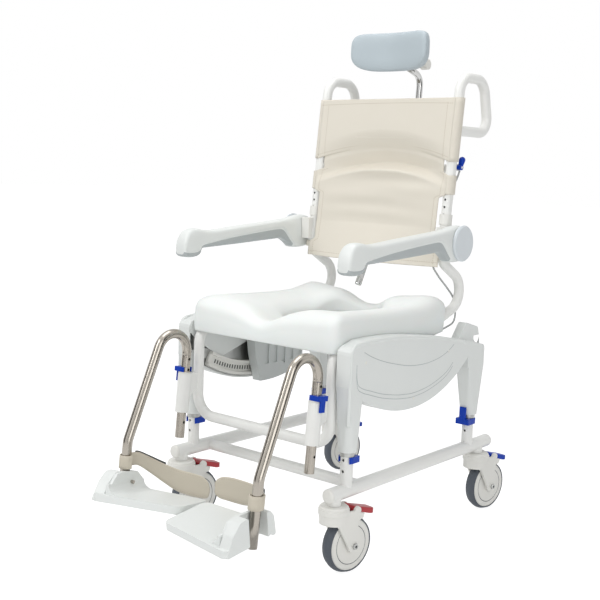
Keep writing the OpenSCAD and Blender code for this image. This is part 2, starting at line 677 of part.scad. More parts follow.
module hanger_left() color(steel) {
  lean(-1) side(-1) hanger_shape();
  foot(-1) hanger_pin();
}
module hanger_right() color(steel) {
  lean(1) hanger_shape();
  foot(1) hanger_pin();
}

module hanger_clip_shape() translate([0, 0, socket_top + 3.6 + slide_gap])
  difference() {
    clip_shape(hanger_d, 0, 11, 20, 11);
    translate([0, 0, -20]) cylinder(h = 60, d = hanger_d + 0.7);
  }

module hanger_tongue() translate([17, -8, socket_top - 20]) cube([3, 16, 26]);

module hanger_clip_left() color(blue) lean(-1) side(-1) { hanger_clip_shape(); hanger_tongue(); }
module hanger_clip_right() color(blue) lean(1) { hanger_clip_shape(); hanger_tongue(); }

// Footplate about its pivot: -X inward, -Y forward, drawn for the +X side
module foot(s) lean(s) translate([0, -toe[0] + 1, plate_pin_h]) rotate([hanger_lean, 0, 0])
  rotate([0, 0, s < 0 ? plate_turn_left : plate_turn_right]) side(s) children();

// Levels and edges of a footplate about its pivot
plate_up = -19;
plate_low = -36;
plate_front = -70;
plate_rear = plate_l + plate_front - 18;
hood_out = hanger_d / 2 + 3;
hood_in = -hanger_d / 2 - 1;
slot_front = -30;
slot_rear = 24;

// Side outlines of a footplate: the inner wall, the part before the tube and the fin behind it
wall_line = softened([[plate_front - 18, plate_low], [plate_rear - 4, plate_low], [plate_rear - 6, 2],
  [24, 20],
  [-30, 25], [-56, 22], [plate_front - 8, -4]], [4, 4, 14, 14, 20, 12, 20], 5);
nose_line = softened([[plate_front - 28, plate_low], [slot_front, plate_low], [slot_front, 26], [-54, 24],
  [plate_front - 6, 4]], [4, 3, 4, 12, 24], 5);
fin_line = softened([[slot_rear, plate_low], [slot_rear + 8, plate_low + 6], [slot_rear + 14, plate_low],
  [slot_rear + 24, plate_low], [slot_rear + 20, 6], [slot_rear + 10, 19], [slot_rear, 20]], [2, 2, 2, 4,
    10, 6, 3], 4);
hollow_line = concat([[hood_in - 2, plate_up - 1], [hood_in - 2, 2]],
  [for (a = [0 : 15 : 90]) [hood_in - 8 - 30 * (1 - cos(a)), plate_up + 21 * (1 - sin(a))]],
  [[hood_in - 38, plate_up - 1]]);

module plate_shape(pitch) rotate([-pitch, 0, 0]) difference() {
  union() {
    translate([0, 0, plate_low]) linear_extrude(plate_up - plate_low)
      polygon(softened([[hood_out, plate_front - 30], [hood_out, slot_front], [hood_in, slot_front],
        [hood_in, plate_rear],
        [hood_in - plate_w, plate_rear], [hood_in - plate_w, plate_front]], [14, 2, 2, 6, 18, 16], 6));
    translate([hood_in - 8, 0, 0]) in_yz() linear_extrude(8) polygon(wall_line);
    translate([hood_in - 0.5, 0, 0]) in_yz() linear_extrude(hood_out - hood_in + 0.5) polygon(nose_line);
    translate([hood_in - 0.5, 0, 0]) in_yz() linear_extrude(hood_out - hood_in + 0.5) polygon(fin_line);
    translate([0, plate_rear - 4, 0]) rotate([90, 0, 0]) linear_extrude(plate_rear - plate_front + 12)
      polygon(hollow_line);
  }
  translate([-20, 0, 0]) rod_x(90, plate_pin_d + 2 * pin_gap);
}

module footplate_left() color(white) foot(-1) plate_shape(plate_pitch_left);
module footplate_right() color(white) foot(1) plate_shape(plate_pitch_right);

// Heel straps, a flat band round the tube and behind the heel
strap_n = 42;
strap_t = 1.3;
strap_lean = tan(hanger_lean + 1.2);
strap_level = 28;
strap_drop_left = 64;
strap_drop_right = 34;
function strap_at(k) = curve_at(strap_points, k * (len(strap_points) - 1) / strap_n);
function strap_dir(k) = let (d = strap_at(min(k + 0.2, strap_n)) - strap_at(max(k - 0.2, 0))) unit([0,
  0], [d[0], d[1]]);

module strap_shape(drop) skin([for (k = [0 : strap_n]) let (p = strap_at(k), d = strap_dir(k),
  n = [-d[1], d[0]])
  [for (q = [[-1, 0], [1, 0], [1, 1], [-1, 1]])
    let (z = strap_level - drop * p[2] + q[1] * p[3])
    [-(p[0] + n[0] * strap_t * q[0]), (1 - p[2]) * z * strap_lean - p[1] - n[1] * strap_t * q[0], z]]]);

module heel_strap_left() color(cream) foot(-1) strap_shape(strap_drop_left);
module heel_strap_right() color(cream) foot(1) strap_shape(strap_drop_right);

// Back cloth, two sheets that wrap round the tubes
cloth_nx = 24;
function sheet_rings(nz, fx, fy, fz) = [for (i = [0 : nz]) concat(
  [for (j = [cloth_nx : -1 : 0]) let (u = 2 * j / cloth_nx - 1)
    [fx(u, i / nz), fy(u, i / nz), fz(u, i / nz)]],
  [for (j = [0 : cloth_nx]) let (u = 2 * j / cloth_nx - 1)
    [fx(u, i / nz), fy(u, i / nz) + sheet_t, fz(u, i / nz)]])];

function upper_z(u, v) = let (low = upper_low_z + 34 * (1 - u * u)) low + (back_top_z - 2 - low) * v;
function upper_x(u, v) = u * frame_x;
function upper_y(u, v) = back_y(upper_z(u, v)) - cloth_front + 9 * max(0, 1 - pow(u * 1.09,
  2)) * (1 - 0.5 * v);

function hold(z) = max(1 - step_up(z, sleeve_top_z - 2, sleeve_top_z + 12),
  step_up(z, strap_low_z - 10, strap_low_z) * (1 - step_up(z, strap_top_z, strap_top_z + 10)));
function lower_z(u, v) = lower_low_z + (lower_top_z - lower_low_z) * v;
function lower_x(u, v) = u * (184 + (frame_x - 184) * hold(lower_z(u, v)));
function lower_sag(z) = min(13, -30 + (z - lower_low_z) * 0.43) + 2.5 * sin(z * 6) * step_up(z,
  lower_low_z + 57, lower_low_z + 117) * (1 - step_up(z, strap_top_z - 4, upper_low_z + 3));
function lower_y(u, v) = let (z = lower_z(u, v), x = lower_x(u, v))
  back_y(z) - cloth_front + lower_sag(z) * max(0, 1 - pow(x / 186, 2))
  + 7 * step_up(z, strap_top_z + 6, upper_low_z + 3);

module sleeves(a, b) for (s = [-1, 1]) translate([s * frame_x, 0, 0]) difference() {
  in_yz() bent([[back_y(a), a], [back_y(b), b]], [0, 0], 2 * (sleeve_r + cloth_t));
  in_yz() bent(side_path, side_bend, 2 * sleeve_r);
  translate([0, back_y(handle_low), handle_low]) rotate([-90, 0, 0]) cylinder(h = 40, d = frame_d + 3);
}

module back_cover_upper() color(cream) here() {
  skin(sheet_rings(10, function(u, v) upper_x(u, v), function(u, v) upper_y(u, v), function(u,
    v) upper_z(u, v)));
  sleeves(upper_low_z, back_top_z - 2);
}

module back_cover_lower() color(cream) here() {
  skin(sheet_rings(22, function(u, v) lower_x(u, v), function(u, v) lower_y(u, v), function(u,
    v) lower_z(u, v)));
  sleeves(lower_low_z + 1, sleeve_top_z);
  sleeves(strap_low_z, strap_top_z);
}

// Seat pad, a ring of one profile carried round the opening
pad_n = 60;
pad_mid_y = front_y - frame_d / 2 - 4.5 + pad_l / 2;
pad_wall = 4;
function super_r(a, w, l, e) = pow(pow(abs(cos(a)) / w, e) + pow(abs(sin(a)) / l, e), -1 / e);
function pad_in(a) = [0, -25] + super_r(a, hole_w / 2, hole_l / 2, 2.4) * [cos(a), sin(a)];
pad_corner = 26;
// Outline of the pad: four rounded corners with points along the sides between them
function pad_edge(c) = let (sx = c == 0 || c == 3 ? 1 : -1, sy = c < 2 ? 1 : -1)
  [sx * (pad_w / 2 - pad_corner), pad_mid_y + sy * (pad_l / 2 - pad_corner)];
function pad_arc(c, k) = pad_edge(c) + pad_corner * [cos(c * 90 + k * 18), sin(c * 90 + k * 18)];
pad_line = [for (c = [0 : 3]) each concat([for (k = [0 : 5]) pad_arc(c, k)],
  [for (k = [1 : 9]) pad_arc(c, 5) + (pad_arc((c + 1) % 4, 0) - pad_arc(c, 5)) * k / 10])];
function bump(x, c, w) = exp(-pow((x - c) / w, 2));
function pad_rear(x) = pad_top_z + 21 - 12 * (1 - min(1, pow(x / 187, 2))) - 35 * exp(-pow(x / 55, 4));
function pad_top(p) = let (s = step_up(p[1], 40, 125)) s * pad_rear(p[0])
  + (1 - s) * (pad_top_z + 15 * pow(abs(p[0]) / 215, 2)) - 18 * bump(p[0], 0, 60) * step_up(-p[1], 170, 260);
function pad_roof(y) = max(rail_z + frame_d / 2 + slide_gap,
  rail_z + (y - rear_low_end[0]) * 0.348 + frame_d / 2 / cos(19.2) + 0.8);
function pad_skirt(o) = o[1] > 133 ? pad_roof(o[1]) + 4 : pad_low_z + 10 * step_up(o[1], 60, 150);
function pad_ring(o) = let (i = pad_in(atan2(o[1] + 25, o[0])))
  let (w = [for (s = [0, 0.02, 0.08, 0.2, 0.35, 0.5, 0.65, 0.8, 0.9, 0.96, 0.99]) i + (o - i) * s])
  let (h = [18, 9, 3, 0, 0, 0, 0, 1, 4, 9, 16], e = unit([0, 0], o - [0, pad_mid_y]) * (pad_wall + 0.3) * 1.1)
  let (r = pad_roof(o[1]) + 0.3, q = pad_skirt(o))
  concat([[i[0], i[1], pad_roof(i[1])]],
    [for (k = [0 : 10]) [w[k][0], w[k][1], pad_top(w[k]) - h[k]]],
    [[o[0], o[1], pad_top(o) - 28], [o[0], o[1], (q + pad_top(o) - 28) / 2], [o[0], o[1], q],
     [o[0] - e[0], o[1] - e[1], q], [o[0] - e[0], o[1] - e[1], max(q + 0.5, r)],
     [(i[0] + o[0]) / 2, (i[1] + o[1]) / 2, pad_roof((i[1] + o[1]) / 2)]]);

module seat_pad() color(white) here() loop_skin([for (k = [pad_n - 1 : -1 : 0]) pad_ring(pad_line[k])]);

// Armrests, a rounded section carried from the pivot to the turned-down nose
arm_in = frame_x + sleeve_r + cloth_t + 4.2;
// Stations along the arm: place, top, step of the side, low edge, width share and depth of the set-back side
arm_stations = [[170, 714, 705, 698, 0.5, 0], [164, 733, 690, 679, 0.86, 0], [152, 743, 678, 667, 1, 0],
  [130, 748, 672, 661, 1, 0], [110, 747, 670, 660, 1, 0], [90, 743, 668, 660, 1, 0], [85, 742, 668, 661,
    1, 6],
  [64, 738, 690, 676, 1, 6], [44, 735, 714, 686, 1, 6], [26, 733, 716, 685, 1, 6], [-40, 727, 709, 681, 1, 6],
  [-122, 721, 700, 676, 1, 6], [-180, 715, 691, 673, 1, 6], [-218, 712, 684, 671, 1, 6], [-240, 713, 680,
    670, 1, 6],
  [-255, 716, 677, 669, 1, 5], [-260, 717, 672, 656, 1, 1], [-268, 718, 664, 651, 1, 0], [-282, 718, 662,
    649, 1, 0],
  [-294, 714, 662, 649, 1, 0], [-303, 705, 662, 650, 0.97, 0], [-309, 692, 663, 652, 0.9, 0], [-313, 676,
    664, 656, 0.7, 0]];
cap_t = 8;
function arm_half(s) = let (w = arm_w / 2 * s[4], d = s[5], t = s[1], e = s[2], b = s[3], g = min(e - b,
  10), h = t - e)
  [[0.6 * (w - d), b], [w - d - 2, b + 0.25 * g], [w - d, b + 0.6 * g], [w - d, e - 0.05 * (e - b)],
    [w - 0.6, e + 0.02 * h],
   [w, e + 0.15 * h], [w, e + 0.5 * h], [0.94 * w, e + 0.78 * h], [0.76 * w, t - 0.07 * h], [0.45 * w,
     t - 0.015 * h]];
function arm_ring(s) = let (p = arm_half(s), m = arm_in + arm_w / 2) concat([[m, s[0], s[3]]],
  [for (q = p) [m + q[0], s[0], q[1]]], [[m, s[0], s[1]]], [for (i = [9 : -1 : 0]) [m - p[i][0], s[0],
    p[i][1]]]);

module arm_shape() difference() {
  skin([for (s = arm_stations) arm_ring(s)]);
  translate([arm_in + arm_w / 2, arm_y, arm_z]) rod_x(80, arm_pin_d + 2 * pin_gap);
}

module armrest_left() color(white) here() side(-1) arm_shape();
module armrest_right() color(white) here() side(1) arm_shape();

module cap_shape() translate([arm_in + arm_w + 0.3, arm_y, arm_z]) rotate([0, 90, 0]) rotate_extrude()
  polygon([[0, 0], [cap_d / 2, 0], [cap_d / 2, cap_t - 4], [cap_d / 2 - 3, cap_t - 1], [0, cap_t]]);
module armrest_cap_left() color(foam) here() side(-1) cap_shape();
module armrest_cap_right() color(foam) here() side(1) cap_shape();

module bracket_shape() difference() {
  union() {
    translate([frame_x - 5, arm_y - 14, 686]) cube([arm_in - frame_x + 4.4, 50, 54]);
    translate([(frame_x + arm_in + arm_w) / 2, arm_y, arm_z]) rod_x(arm_in + arm_w - frame_x, arm_pin_d);
    translate([frame_x, 0, 0]) in_yz() bent([[back_y(745), 745], [back_y(770), 770]], [0, 0], frame_d + 6.5);
  }
  translate([frame_x, 0, 0]) in_yz() bent(side_path, side_bend, frame_d + 0.2);
}

module armrest_brackets() color(pale) here() for (s = [-1, 1]) side(s) bracket_shape();

// Headrest
module headrest_clamp() color(pale) here() difference() {
  translate([-22, bow_y - 16, bow_z - 20]) cube([44, 74, 40]);
  translate([0, bow_y, bow_z]) rod_x(80, bow_d + 0.1);
  in_yz() bent([bar_low, bar_mid], [0, 0], post_d + 2 * slide_gap);
}

module headrest_post() color(steel) here() {
  in_yz() bent(bar_path, [0, 60, 30, 0], post_d);
  translate([0, eye[0], eye[1]]) rod_x(36, post_d + 7);
  translate([16, eye[0], eye[1]]) rod_x(100, eye_pin_d);
}

function head_bend(x) = -26 * pow(x / (head_w / 2), 2);
head_back_y = eye[0] - 30;
module headrest_shell() color(grey) here() difference() {
  union() {
    translate([-40, head_back_y + 0.4, head_z - 34]) cube([80, 5, 68]);
    for (s = [-1, 1]) translate([s * 23 - 4, 0, 0]) in_yz() linear_extrude(8) {
      translate(eye) circle(d = 24);
      translate([head_back_y + 3, eye[1] - 12]) square([eye[0] - head_back_y - 3, 24]);
    }
  }
  translate([0, eye[0], eye[1]]) rod_x(120, eye_pin_d + 2 * pin_gap);
}

module headrest_knob() color(dark) here() translate([52, eye[0], eye[1]]) rotate([0, 90, 0]) difference() {
  cylinder(h = 18, d = 26);
  translate([0, 0, -1]) cylinder(h = 15.2, d = eye_pin_d + 2 * pin_gap);
}

head_n = 22;
function head_ring(i) = let (a = -88 + 176 * i / head_n, x = head_w / 2 * sin(a) / sin(88))
  let (f = pow(1 - pow(abs(sin(a)), 8), 1 / 5), g = pow(1 - pow(abs(sin(a)), 7), 1 / 3))
  [for (k = [0 : 19]) let (b = k * 18, q = 3.6, r = pow(pow(abs(cos(b)), q) + pow(abs(sin(b)), q), -1 / q))
    [x, head_back_y - head_t / 2 + head_bend(x) + head_t / 2 * g * r * cos(b),
      head_z + head_h / 2 * f * r * sin(b)]];

module headrest_pad() color(foam) here() skin([for (i = [0 : head_n]) head_ring(i)]);

// Tilt lever and its cable
module tilt_lever() color(blue) here() translate([frame_x + 11.5, back_y(884) + 21, 884]) difference() {
  union() {
    rod_x(11, 13);
    hull() {
      translate([0, 2, 4]) cube([9, 6, 6], center = true);
      translate([0, 8, 18]) sphere(r = 8, $fn = 20);
    }
  }
  rod_x(30, 6 + 2 * pin_gap);
}

cable_r = 2.4;
cable_n = 64;
function cable_at(t) = curve_at(cable_points, t * (len(cable_points) - 1));
function cross_of(a, b) = [a[1] * b[2] - a[2] * b[1], a[2] * b[0] - a[0] * b[2], a[0] * b[1] - a[1] * b[0]];
module tilt_cable() color(dark) here() skin([for (i = [0 : cable_n]) let (t = i / cable_n)
  let (p = cable_at(t), d = cable_at(min(t + 0.004, 1)) - cable_at(max(t - 0.004, 0)))
  let (n = d / norm(d), u = unit([0, 0, 0], cross_of(n, [1, 0, 0])), v = cross_of(n, u))
  [for (k = [0 : 7]) p + cable_r * (cos(k * 45) * u + sin(k * 45) * v)]]);

base_frame();
base_end_caps();
castor_fork_fl();
castor_fork_fr();
castor_fork_rl();
castor_fork_rr();
castor_wheel_fl();
castor_wheel_fr();
castor_wheel_rl();
castor_wheel_rr();
castor_tyre_fl();
castor_tyre_fr();
castor_tyre_rl();
castor_tyre_rr();
castor_pedal_fl();
castor_pedal_fr();
castor_pedal_rl();
castor_pedal_rr();
side_frame_left();
side_frame_right();
side_cover_left();
side_cover_right();
tilt_track_left();
tilt_track_right();
height_clips_front();
height_clips_rear();
seat_frame();
push_handle_left();
push_handle_right();
footrest_sockets();
back_cover_upper();
back_cover_lower();
seat_pad();
tilt_carriage_left();
tilt_carriage_right();
tilt_rollers_front();
tilt_rollers_rear();
tilt_lever();
tilt_cable();
tilt_lock();
armrest_left();
armrest_right();
armrest_cap_left();
armrest_cap_right();
armrest_brackets();
headrest_clamp();
headrest_post();
headrest_shell();
headrest_pad();
headrest_knob();
hanger_bush_left();
hanger_bush_right();
hanger_left();
hanger_right();
hanger_clip_left();
hanger_clip_right();
footplate_left();
footplate_right();
heel_strap_left();
heel_strap_right();
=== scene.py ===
"""Looks of a tilting shower commode chair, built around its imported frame.

Lengths inside the shape functions are millimetres in the chair's own axes, whose Y zero lies SHIFT behind
that of the frame; place() turns them into metres in the frame.
"""

import json
import math

import bpy
import numpy as np
from mathutils import Matrix, Vector


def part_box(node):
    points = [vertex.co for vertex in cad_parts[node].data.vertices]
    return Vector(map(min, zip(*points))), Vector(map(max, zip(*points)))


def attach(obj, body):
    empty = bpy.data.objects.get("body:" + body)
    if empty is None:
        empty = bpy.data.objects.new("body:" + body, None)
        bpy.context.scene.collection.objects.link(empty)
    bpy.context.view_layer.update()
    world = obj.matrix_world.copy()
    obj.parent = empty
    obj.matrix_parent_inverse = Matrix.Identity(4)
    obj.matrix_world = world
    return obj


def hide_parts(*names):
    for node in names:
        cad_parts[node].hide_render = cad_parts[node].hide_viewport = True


bl_info = {
    "name": "Shower commode chair",
    "version": (1, 0, 0),
    "blender": (4, 5, 0),
    "location": "3D View > Sidebar > Chair",
    "description": "Finishes and soft pieces of a tilting shower commode chair",
    "category": "Object",
}

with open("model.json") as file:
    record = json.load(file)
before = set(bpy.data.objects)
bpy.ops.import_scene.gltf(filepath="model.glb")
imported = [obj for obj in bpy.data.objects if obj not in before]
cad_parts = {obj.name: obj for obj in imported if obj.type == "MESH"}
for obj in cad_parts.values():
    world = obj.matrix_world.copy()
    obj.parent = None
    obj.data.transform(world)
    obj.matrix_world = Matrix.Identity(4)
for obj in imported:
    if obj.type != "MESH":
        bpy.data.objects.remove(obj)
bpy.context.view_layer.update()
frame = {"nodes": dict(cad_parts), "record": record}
NODES = frame["nodes"]
SHIFT = 101.95
SIDES = ((-1, "left"), (1, "right"))
# Finishes by name, filled by make_finishes
FINISH = {}

# Sizes shared with the frame, in millimetres
FRAME_X, FRAME_D = 202.0, 25.0
RAIL_Z = 490.0
BACK_LOW, BACK_LEAN, BACK_TOP = (132.0, 657.0), math.tan(math.radians(6.07)), 1052.0
SLEEVE_R, CLOTH_T = FRAME_D / 2 + 0.3, 3.0


def linear(code):
    """Linear RGBA of an sRGB hex colour."""
    part = np.array([int(code[i:i + 2], 16) for i in (1, 3, 5)]) / 255
    return (*np.where(part <= 0.04045, part / 12.92, ((part + 0.055) / 1.055) ** 2.4), 1.0)


def colour_prop(label, text, code):
    """Colour property whose default is an sRGB hex colour."""
    return bpy.props.FloatVectorProperty(name=label, description=text, subtype="COLOR", size=4, min=0, max=1,
                                         default=linear(code))


def length_prop(label, text, default, low, high):
    """Length property in metres, with its limits."""
    return bpy.props.FloatProperty(name=label, description=text, default=default, min=low, max=high,
                                   unit="LENGTH")


class ChairColours(bpy.types.PropertyGroup):
    """Colours of the chair's finishes"""
    tube: colour_prop("Tube coat", "Powder coat of the frame tubes", "#f1f1ee")
    moulding: colour_prop("White moulding", "Side covers, armrests and footplates", "#e6e9e7")
    pale: colour_prop("Pale moulding", "Castor forks, wheels, end caps and tracks", "#ecebe6")
    # On the side covers this grey paints the shade of the pressed grooves
    grey: colour_prop("Grey moulding", "Headrest shell, armrest undersides and cover lines", "#b4babb")
    cushion: colour_prop("Seat skin", "Skin of the seat cushion", "#eff2f0")
    pad: colour_prop("Headrest skin", "Skin of the headrest cushion", "#b9c4ca")
    cloth: colour_prop("Back cloth", "Coated cloth of the back", "#e6e1d7")
    strap: colour_prop("Strap cloth", "Cloth of the heel straps", "#d3ccbe")
    steel: colour_prop("Stainless tube", "Brushed tubes of the footrests", "#aca69d")
    # This rubber also paints the shade of the groove on each wheel's face
    tread_and_groove_shade: colour_prop("Tread", "Rubber of the castor treads", "#565c65")
    blue: colour_prop("Blue moulding", "Clips, lever and rear pedals", "#083eb4")
    red: colour_prop("Red moulding", "Front pedals", "#b52c34")
    # This dark also paints the shade inside the rack slots and the bolt sockets
    dark: colour_prop("Dark moulding", "Rollers, slot floors and bolt sockets", "#33363a")


class ChairSizes(bpy.types.PropertyGroup):
    """Sizes that a user would change"""
    seat_edge: length_prop("Seat edge", "Rounding of the seat's upper edge", 0.04, 0.02, 0.045)
    hole_edge: length_prop("Opening edge", "Rounding of the seat opening", 0.034, 0.02, 0.045)
    cloth_fold: length_prop("Cloth fold", "Depth of the fold between the cloths", 0.04, 0.0, 0.044)
    seat_dish: length_prop("Seat dish", "Fall of the seat towards its opening", 0.028, 0.0, 0.03)
    stitch: length_prop("Stitch", "Length of one stitch", 0.0045, 0.003, 0.008)


def colours():
    """Colour settings of the scene."""
    return bpy.context.scene.chair_colours


def sizes():
    """Size settings of the scene."""
    return bpy.context.scene.chair_sizes


# Shapes


def place(points):
    """Millimetres in the chair's axes to metres in the frame: Y moves by SHIFT, all is divided by 1000."""
    return (np.asarray(points, float) + (0.0, SHIFT, 0.0)) / 1000


def step(x, a, b):
    """Smooth step: 0 up to a, 1 from b, with the cubic 3t2 - 2t3 between."""
    t = np.clip((np.asarray(x, float) - a) / (b - a), 0, 1)
    return t * t * (3 - 2 * t)


def through(points, count):
    """Catmull-Rom curve through the points, as count points at even steps of the points' own numbering."""
    p = np.asarray(points, float)
    t = np.linspace(0, len(p) - 1, count)
    i = np.minimum(t.astype(int), len(p) - 2)
    f = (t - i)[:, None]
    a, b, c, d = p[np.maximum(i - 1, 0)], p[i], p[i + 1], p[np.minimum(i + 2, len(p) - 1)]
    square = 2 * a - 5 * b + 4 * c - d
    cubic = 3 * b - a - 3 * c + d
    return 0.5 * (2 * b + f * (c - a) + f ** 2 * square + f ** 3 * cubic)


def unit(vectors):
    """Vectors divided by their lengths."""
    return vectors / np.linalg.norm(vectors, axis=-1)[..., None]


def run_along(line):
    """Distance along a line at each of its points."""
    return np.concatenate([[0], np.cumsum(np.linalg.norm(np.diff(line, axis=0), axis=1))])


def at_run(distance, run, line):
    """Points of a line at the given distances along it, straight between its own points."""
    return np.stack([np.interp(distance, run, column) for column in line.T], -1)


def circle(count):
    """Angles of count even steps round a circle."""
    return np.linspace(0, 2 * math.pi, count, endpoint=False)


def upright(x, points):
    """Points given by Y and Z, set on the upright plane at x."""
    return np.column_stack([np.full(len(points), x), points])


def quads(rows, cols, wrap_rows=False, wrap_cols=False, start=0):
    """Faces of a grid of rows by cols points: each point with its right, upper right and upper neighbours."""
    i, j = np.meshgrid(np.arange(rows - (not wrap_rows)), np.arange(cols - (not wrap_cols)), indexing="ij")
    k, m = (i + 1) % rows, (j + 1) % cols
    return np.stack([i * cols + j, i * cols + m, k * cols + m, k * cols + j], -1).reshape(-1, 4) + start


def fan(ring, centre):
    """Triangles from every edge of a closed ring of point numbers to one centre point."""
    ring = np.asarray(ring)
    return np.stack([ring, np.roll(ring, -1), np.full(len(ring), centre)], -1)


def build(name, points, faces, finish, which=None, uv=None, flip=False):
    """Mesh object from points in millimetres and arrays of faces: smooth, with a material number per face."""
    rows = [face for group in faces for face in (group[:, ::-1] if flip else group).tolist()]
    mesh = bpy.data.meshes.new(name)
    mesh.from_pydata(place(points).tolist(), [], rows)
    for kind in [finish] if isinstance(finish, str) else finish:
        mesh.materials.append(FINISH[kind])
    mesh.polygons.foreach_set("use_smooth", np.ones(len(rows), bool))
    if which is not None:
        mesh.polygons.foreach_set("material_index", np.asarray(which, np.int32))
    if uv is not None:
        corner = np.zeros(len(mesh.loops), np.int32)
        mesh.loops.foreach_get("vertex_index", corner)
        mesh.uv_layers.new(name="UVMap").data.foreach_set("uv", np.asarray(uv, np.float32)[corner].ravel())
    mesh.update()
    piece = bpy.data.objects.new(name, mesh)
    bpy.context.scene.collection.objects.link(piece)
    return piece


def settle(piece, body):
    """Makes a piece ride on a body."""
    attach(piece, body)


def loft(name, rings, finish, which=None, uv=None, flip=False):
    """Closed skin over a stack of like rings, a fan closing the first and the last ring on its middle."""
    rows, cols = rings.shape[:2]
    points = np.concatenate([rings.reshape(-1, 3), rings[:1].mean(1), rings[-1:].mean(1)])
    last = (rows - 1) * cols + np.arange(cols)
    faces = [quads(rows, cols, wrap_cols=True), fan(np.arange(cols)[::-1], rows * cols),
             fan(last, rows * cols + 1)]
    if which is not None:
        which = np.concatenate([which, np.full(2 * cols, which[0])])
    if uv is not None:
        uv = np.concatenate([uv, uv[:1], uv[-1:]])
    return build(name, points, faces, finish, which, uv, flip)


def turned(name, profile, centre, axis, finish, sides):
    """Solid of revolution: radius and height pairs turned round a level axis through centre."""
    profile = np.asarray(profile, float)
    axis = unit(np.asarray(axis, float))
    across = unit(np.cross(axis, (0.0, 0.0, 1.0)))
    a = circle(sides)
    round_dir = np.cos(a)[:, None] * across + np.sin(a)[:, None] * np.cross(axis, across)
    rings = np.asarray(centre) + profile[:, None, :1] * round_dir[None] + profile[:, None, 1:] * axis
    return loft(name, rings, finish)


def rounded(corners, radii):
    """Line through the corners with a true arc at each inner one.

    The arc touches both legs at radius / tan(half the angle), and its points swing evenly between the two."""
    p = np.asarray(corners, float)
    line = [p[:1]]
    for a, b, c, radius in zip(p, p[1:], p[2:], radii):
        u, v = unit(a - b), unit(c - b)
        half = math.acos(u @ v) / 2
        centre = b + unit(u + v) * radius / math.sin(half)
        start, end = b + u * radius / math.tan(half) - centre, b + v * radius / math.tan(half) - centre
        angle = math.pi - 2 * half
        t = np.linspace(0, angle, 30)[:, None]
        line.append(centre + (np.sin(angle - t) * start + np.sin(t) * end) / math.sin(angle))
    return np.concatenate(line + [p[-1:]])


def sweep(name, line, radius, finish, sides=10):
    """Round bar of one radius along a line of points; the section's first axis is square to the line and X.

    Its UV runs round the bar and along it, in metres."""
    line = np.asarray(line, float)
    along = unit(np.gradient(line, axis=0))
    first = unit(np.cross(along, (1.0, 0.0, 0.0)))
    second = np.cross(along, first)
    a = circle(sides)
    rings = line[:, None] + radius * (np.cos(a)[None, :, None] * first[:, None]
                                      + np.sin(a)[None, :, None] * second[:, None])
    run = run_along(line)
    uv = np.stack(np.broadcast_arrays(radius * a[None], run[:, None]), -1).reshape(-1, 2) / 1000
    return loft(name, rings, finish, uv=uv)


def hoop(name, centre, axis, radius, thick, finish):
    """Ring round an axis: from the centre, radius plus thick times the cosine of the section's angle outward,
    and thick times its sine along the axis."""
    a, b = circle(96)[:, None, None], circle(10)[None, :, None]
    up = np.array([0.0, 0.0, 1.0])
    outward = np.cos(a) * up + np.sin(a) * np.cross(axis, up)
    points = centre + (radius + thick * np.cos(b)) * outward + thick * np.sin(b) * axis
    return build(name, points.reshape(-1, 3), [quads(96, 10, True, True)], finish, flip=True)


def stitches(name, lines, outward, finish):
    """Rows of stitches: along each line, lens-shaped dashes that stand proud by half a thread.

    A dash is a ring of six points, widest in its middle, with a raised middle point."""
    length = sizes().stitch * 1000
    points, faces = [], []
    for line in lines:
        line = np.asarray(line, float)
        run = run_along(line)
        count = int(run[-1] / (length * 1.35))
        start = np.arange(count) * length * 1.35
        at = at_run(start + length / 2, run, line)
        ahead = unit(at_run(start + length, run, line) - at)
        side = unit(np.cross(ahead, outward))
        shape = np.array([[-0.5, 0], [-0.3, 0.5], [0.3, 0.5], [0.5, 0], [0.3, -0.5], [-0.3, -0.5], [0, 0]])
        rise = np.array([0, 0, 0, 0, 0, 0, 0.7])
        dash = (at[:, None] + length * shape[None, :, :1] * ahead[:, None]
                + 1.3 * shape[None, :, 1:] * side[:, None] + rise[None, :, None] * np.asarray(outward))
        base = sum(len(p) for p in points) + 7 * np.arange(count)
        ring = np.array([[k, (k + 1) % 6, 6] for k in range(6)])
        points.append(dash.reshape(-1, 3))
        faces.append((base[:, None, None] + ring[None]).reshape(-1, 3))
    return build(name, np.concatenate(points), faces, finish)


# Materials

# Streaks of brushed metal to the metre, across and along them: 0.4 mm apart and 25 mm long
STREAK_WIDE, STREAK_LONG = 1 / 0.0004, 1 / 0.025


def add(tree, kind, inputs=None, **settings):
    """Adds one node, sets its settings, and sets or links its inputs."""
    node = tree.nodes.new("ShaderNode" + kind)
    for key, value in settings.items():
        setattr(node, key, value)
    for key, value in (inputs or {}).items():
        if isinstance(value, bpy.types.NodeSocket):
            tree.links.new(value, node.inputs[key])
        else:
            node.inputs[key].default_value = value
    return node


def start_material(name):
    """Empty material and its node tree."""
    material = bpy.data.materials.new(name)
    material.use_nodes = True
    material.node_tree.nodes.clear()
    return material, material.node_tree


def shaded(material, inputs):
    """The material with a Principled shader that has these inputs, led to its output."""
    shader = add(material.node_tree, "BsdfPrincipled", inputs)
    add(material.node_tree, "OutputMaterial", {"Surface": shader.outputs["BSDF"]})
    return material


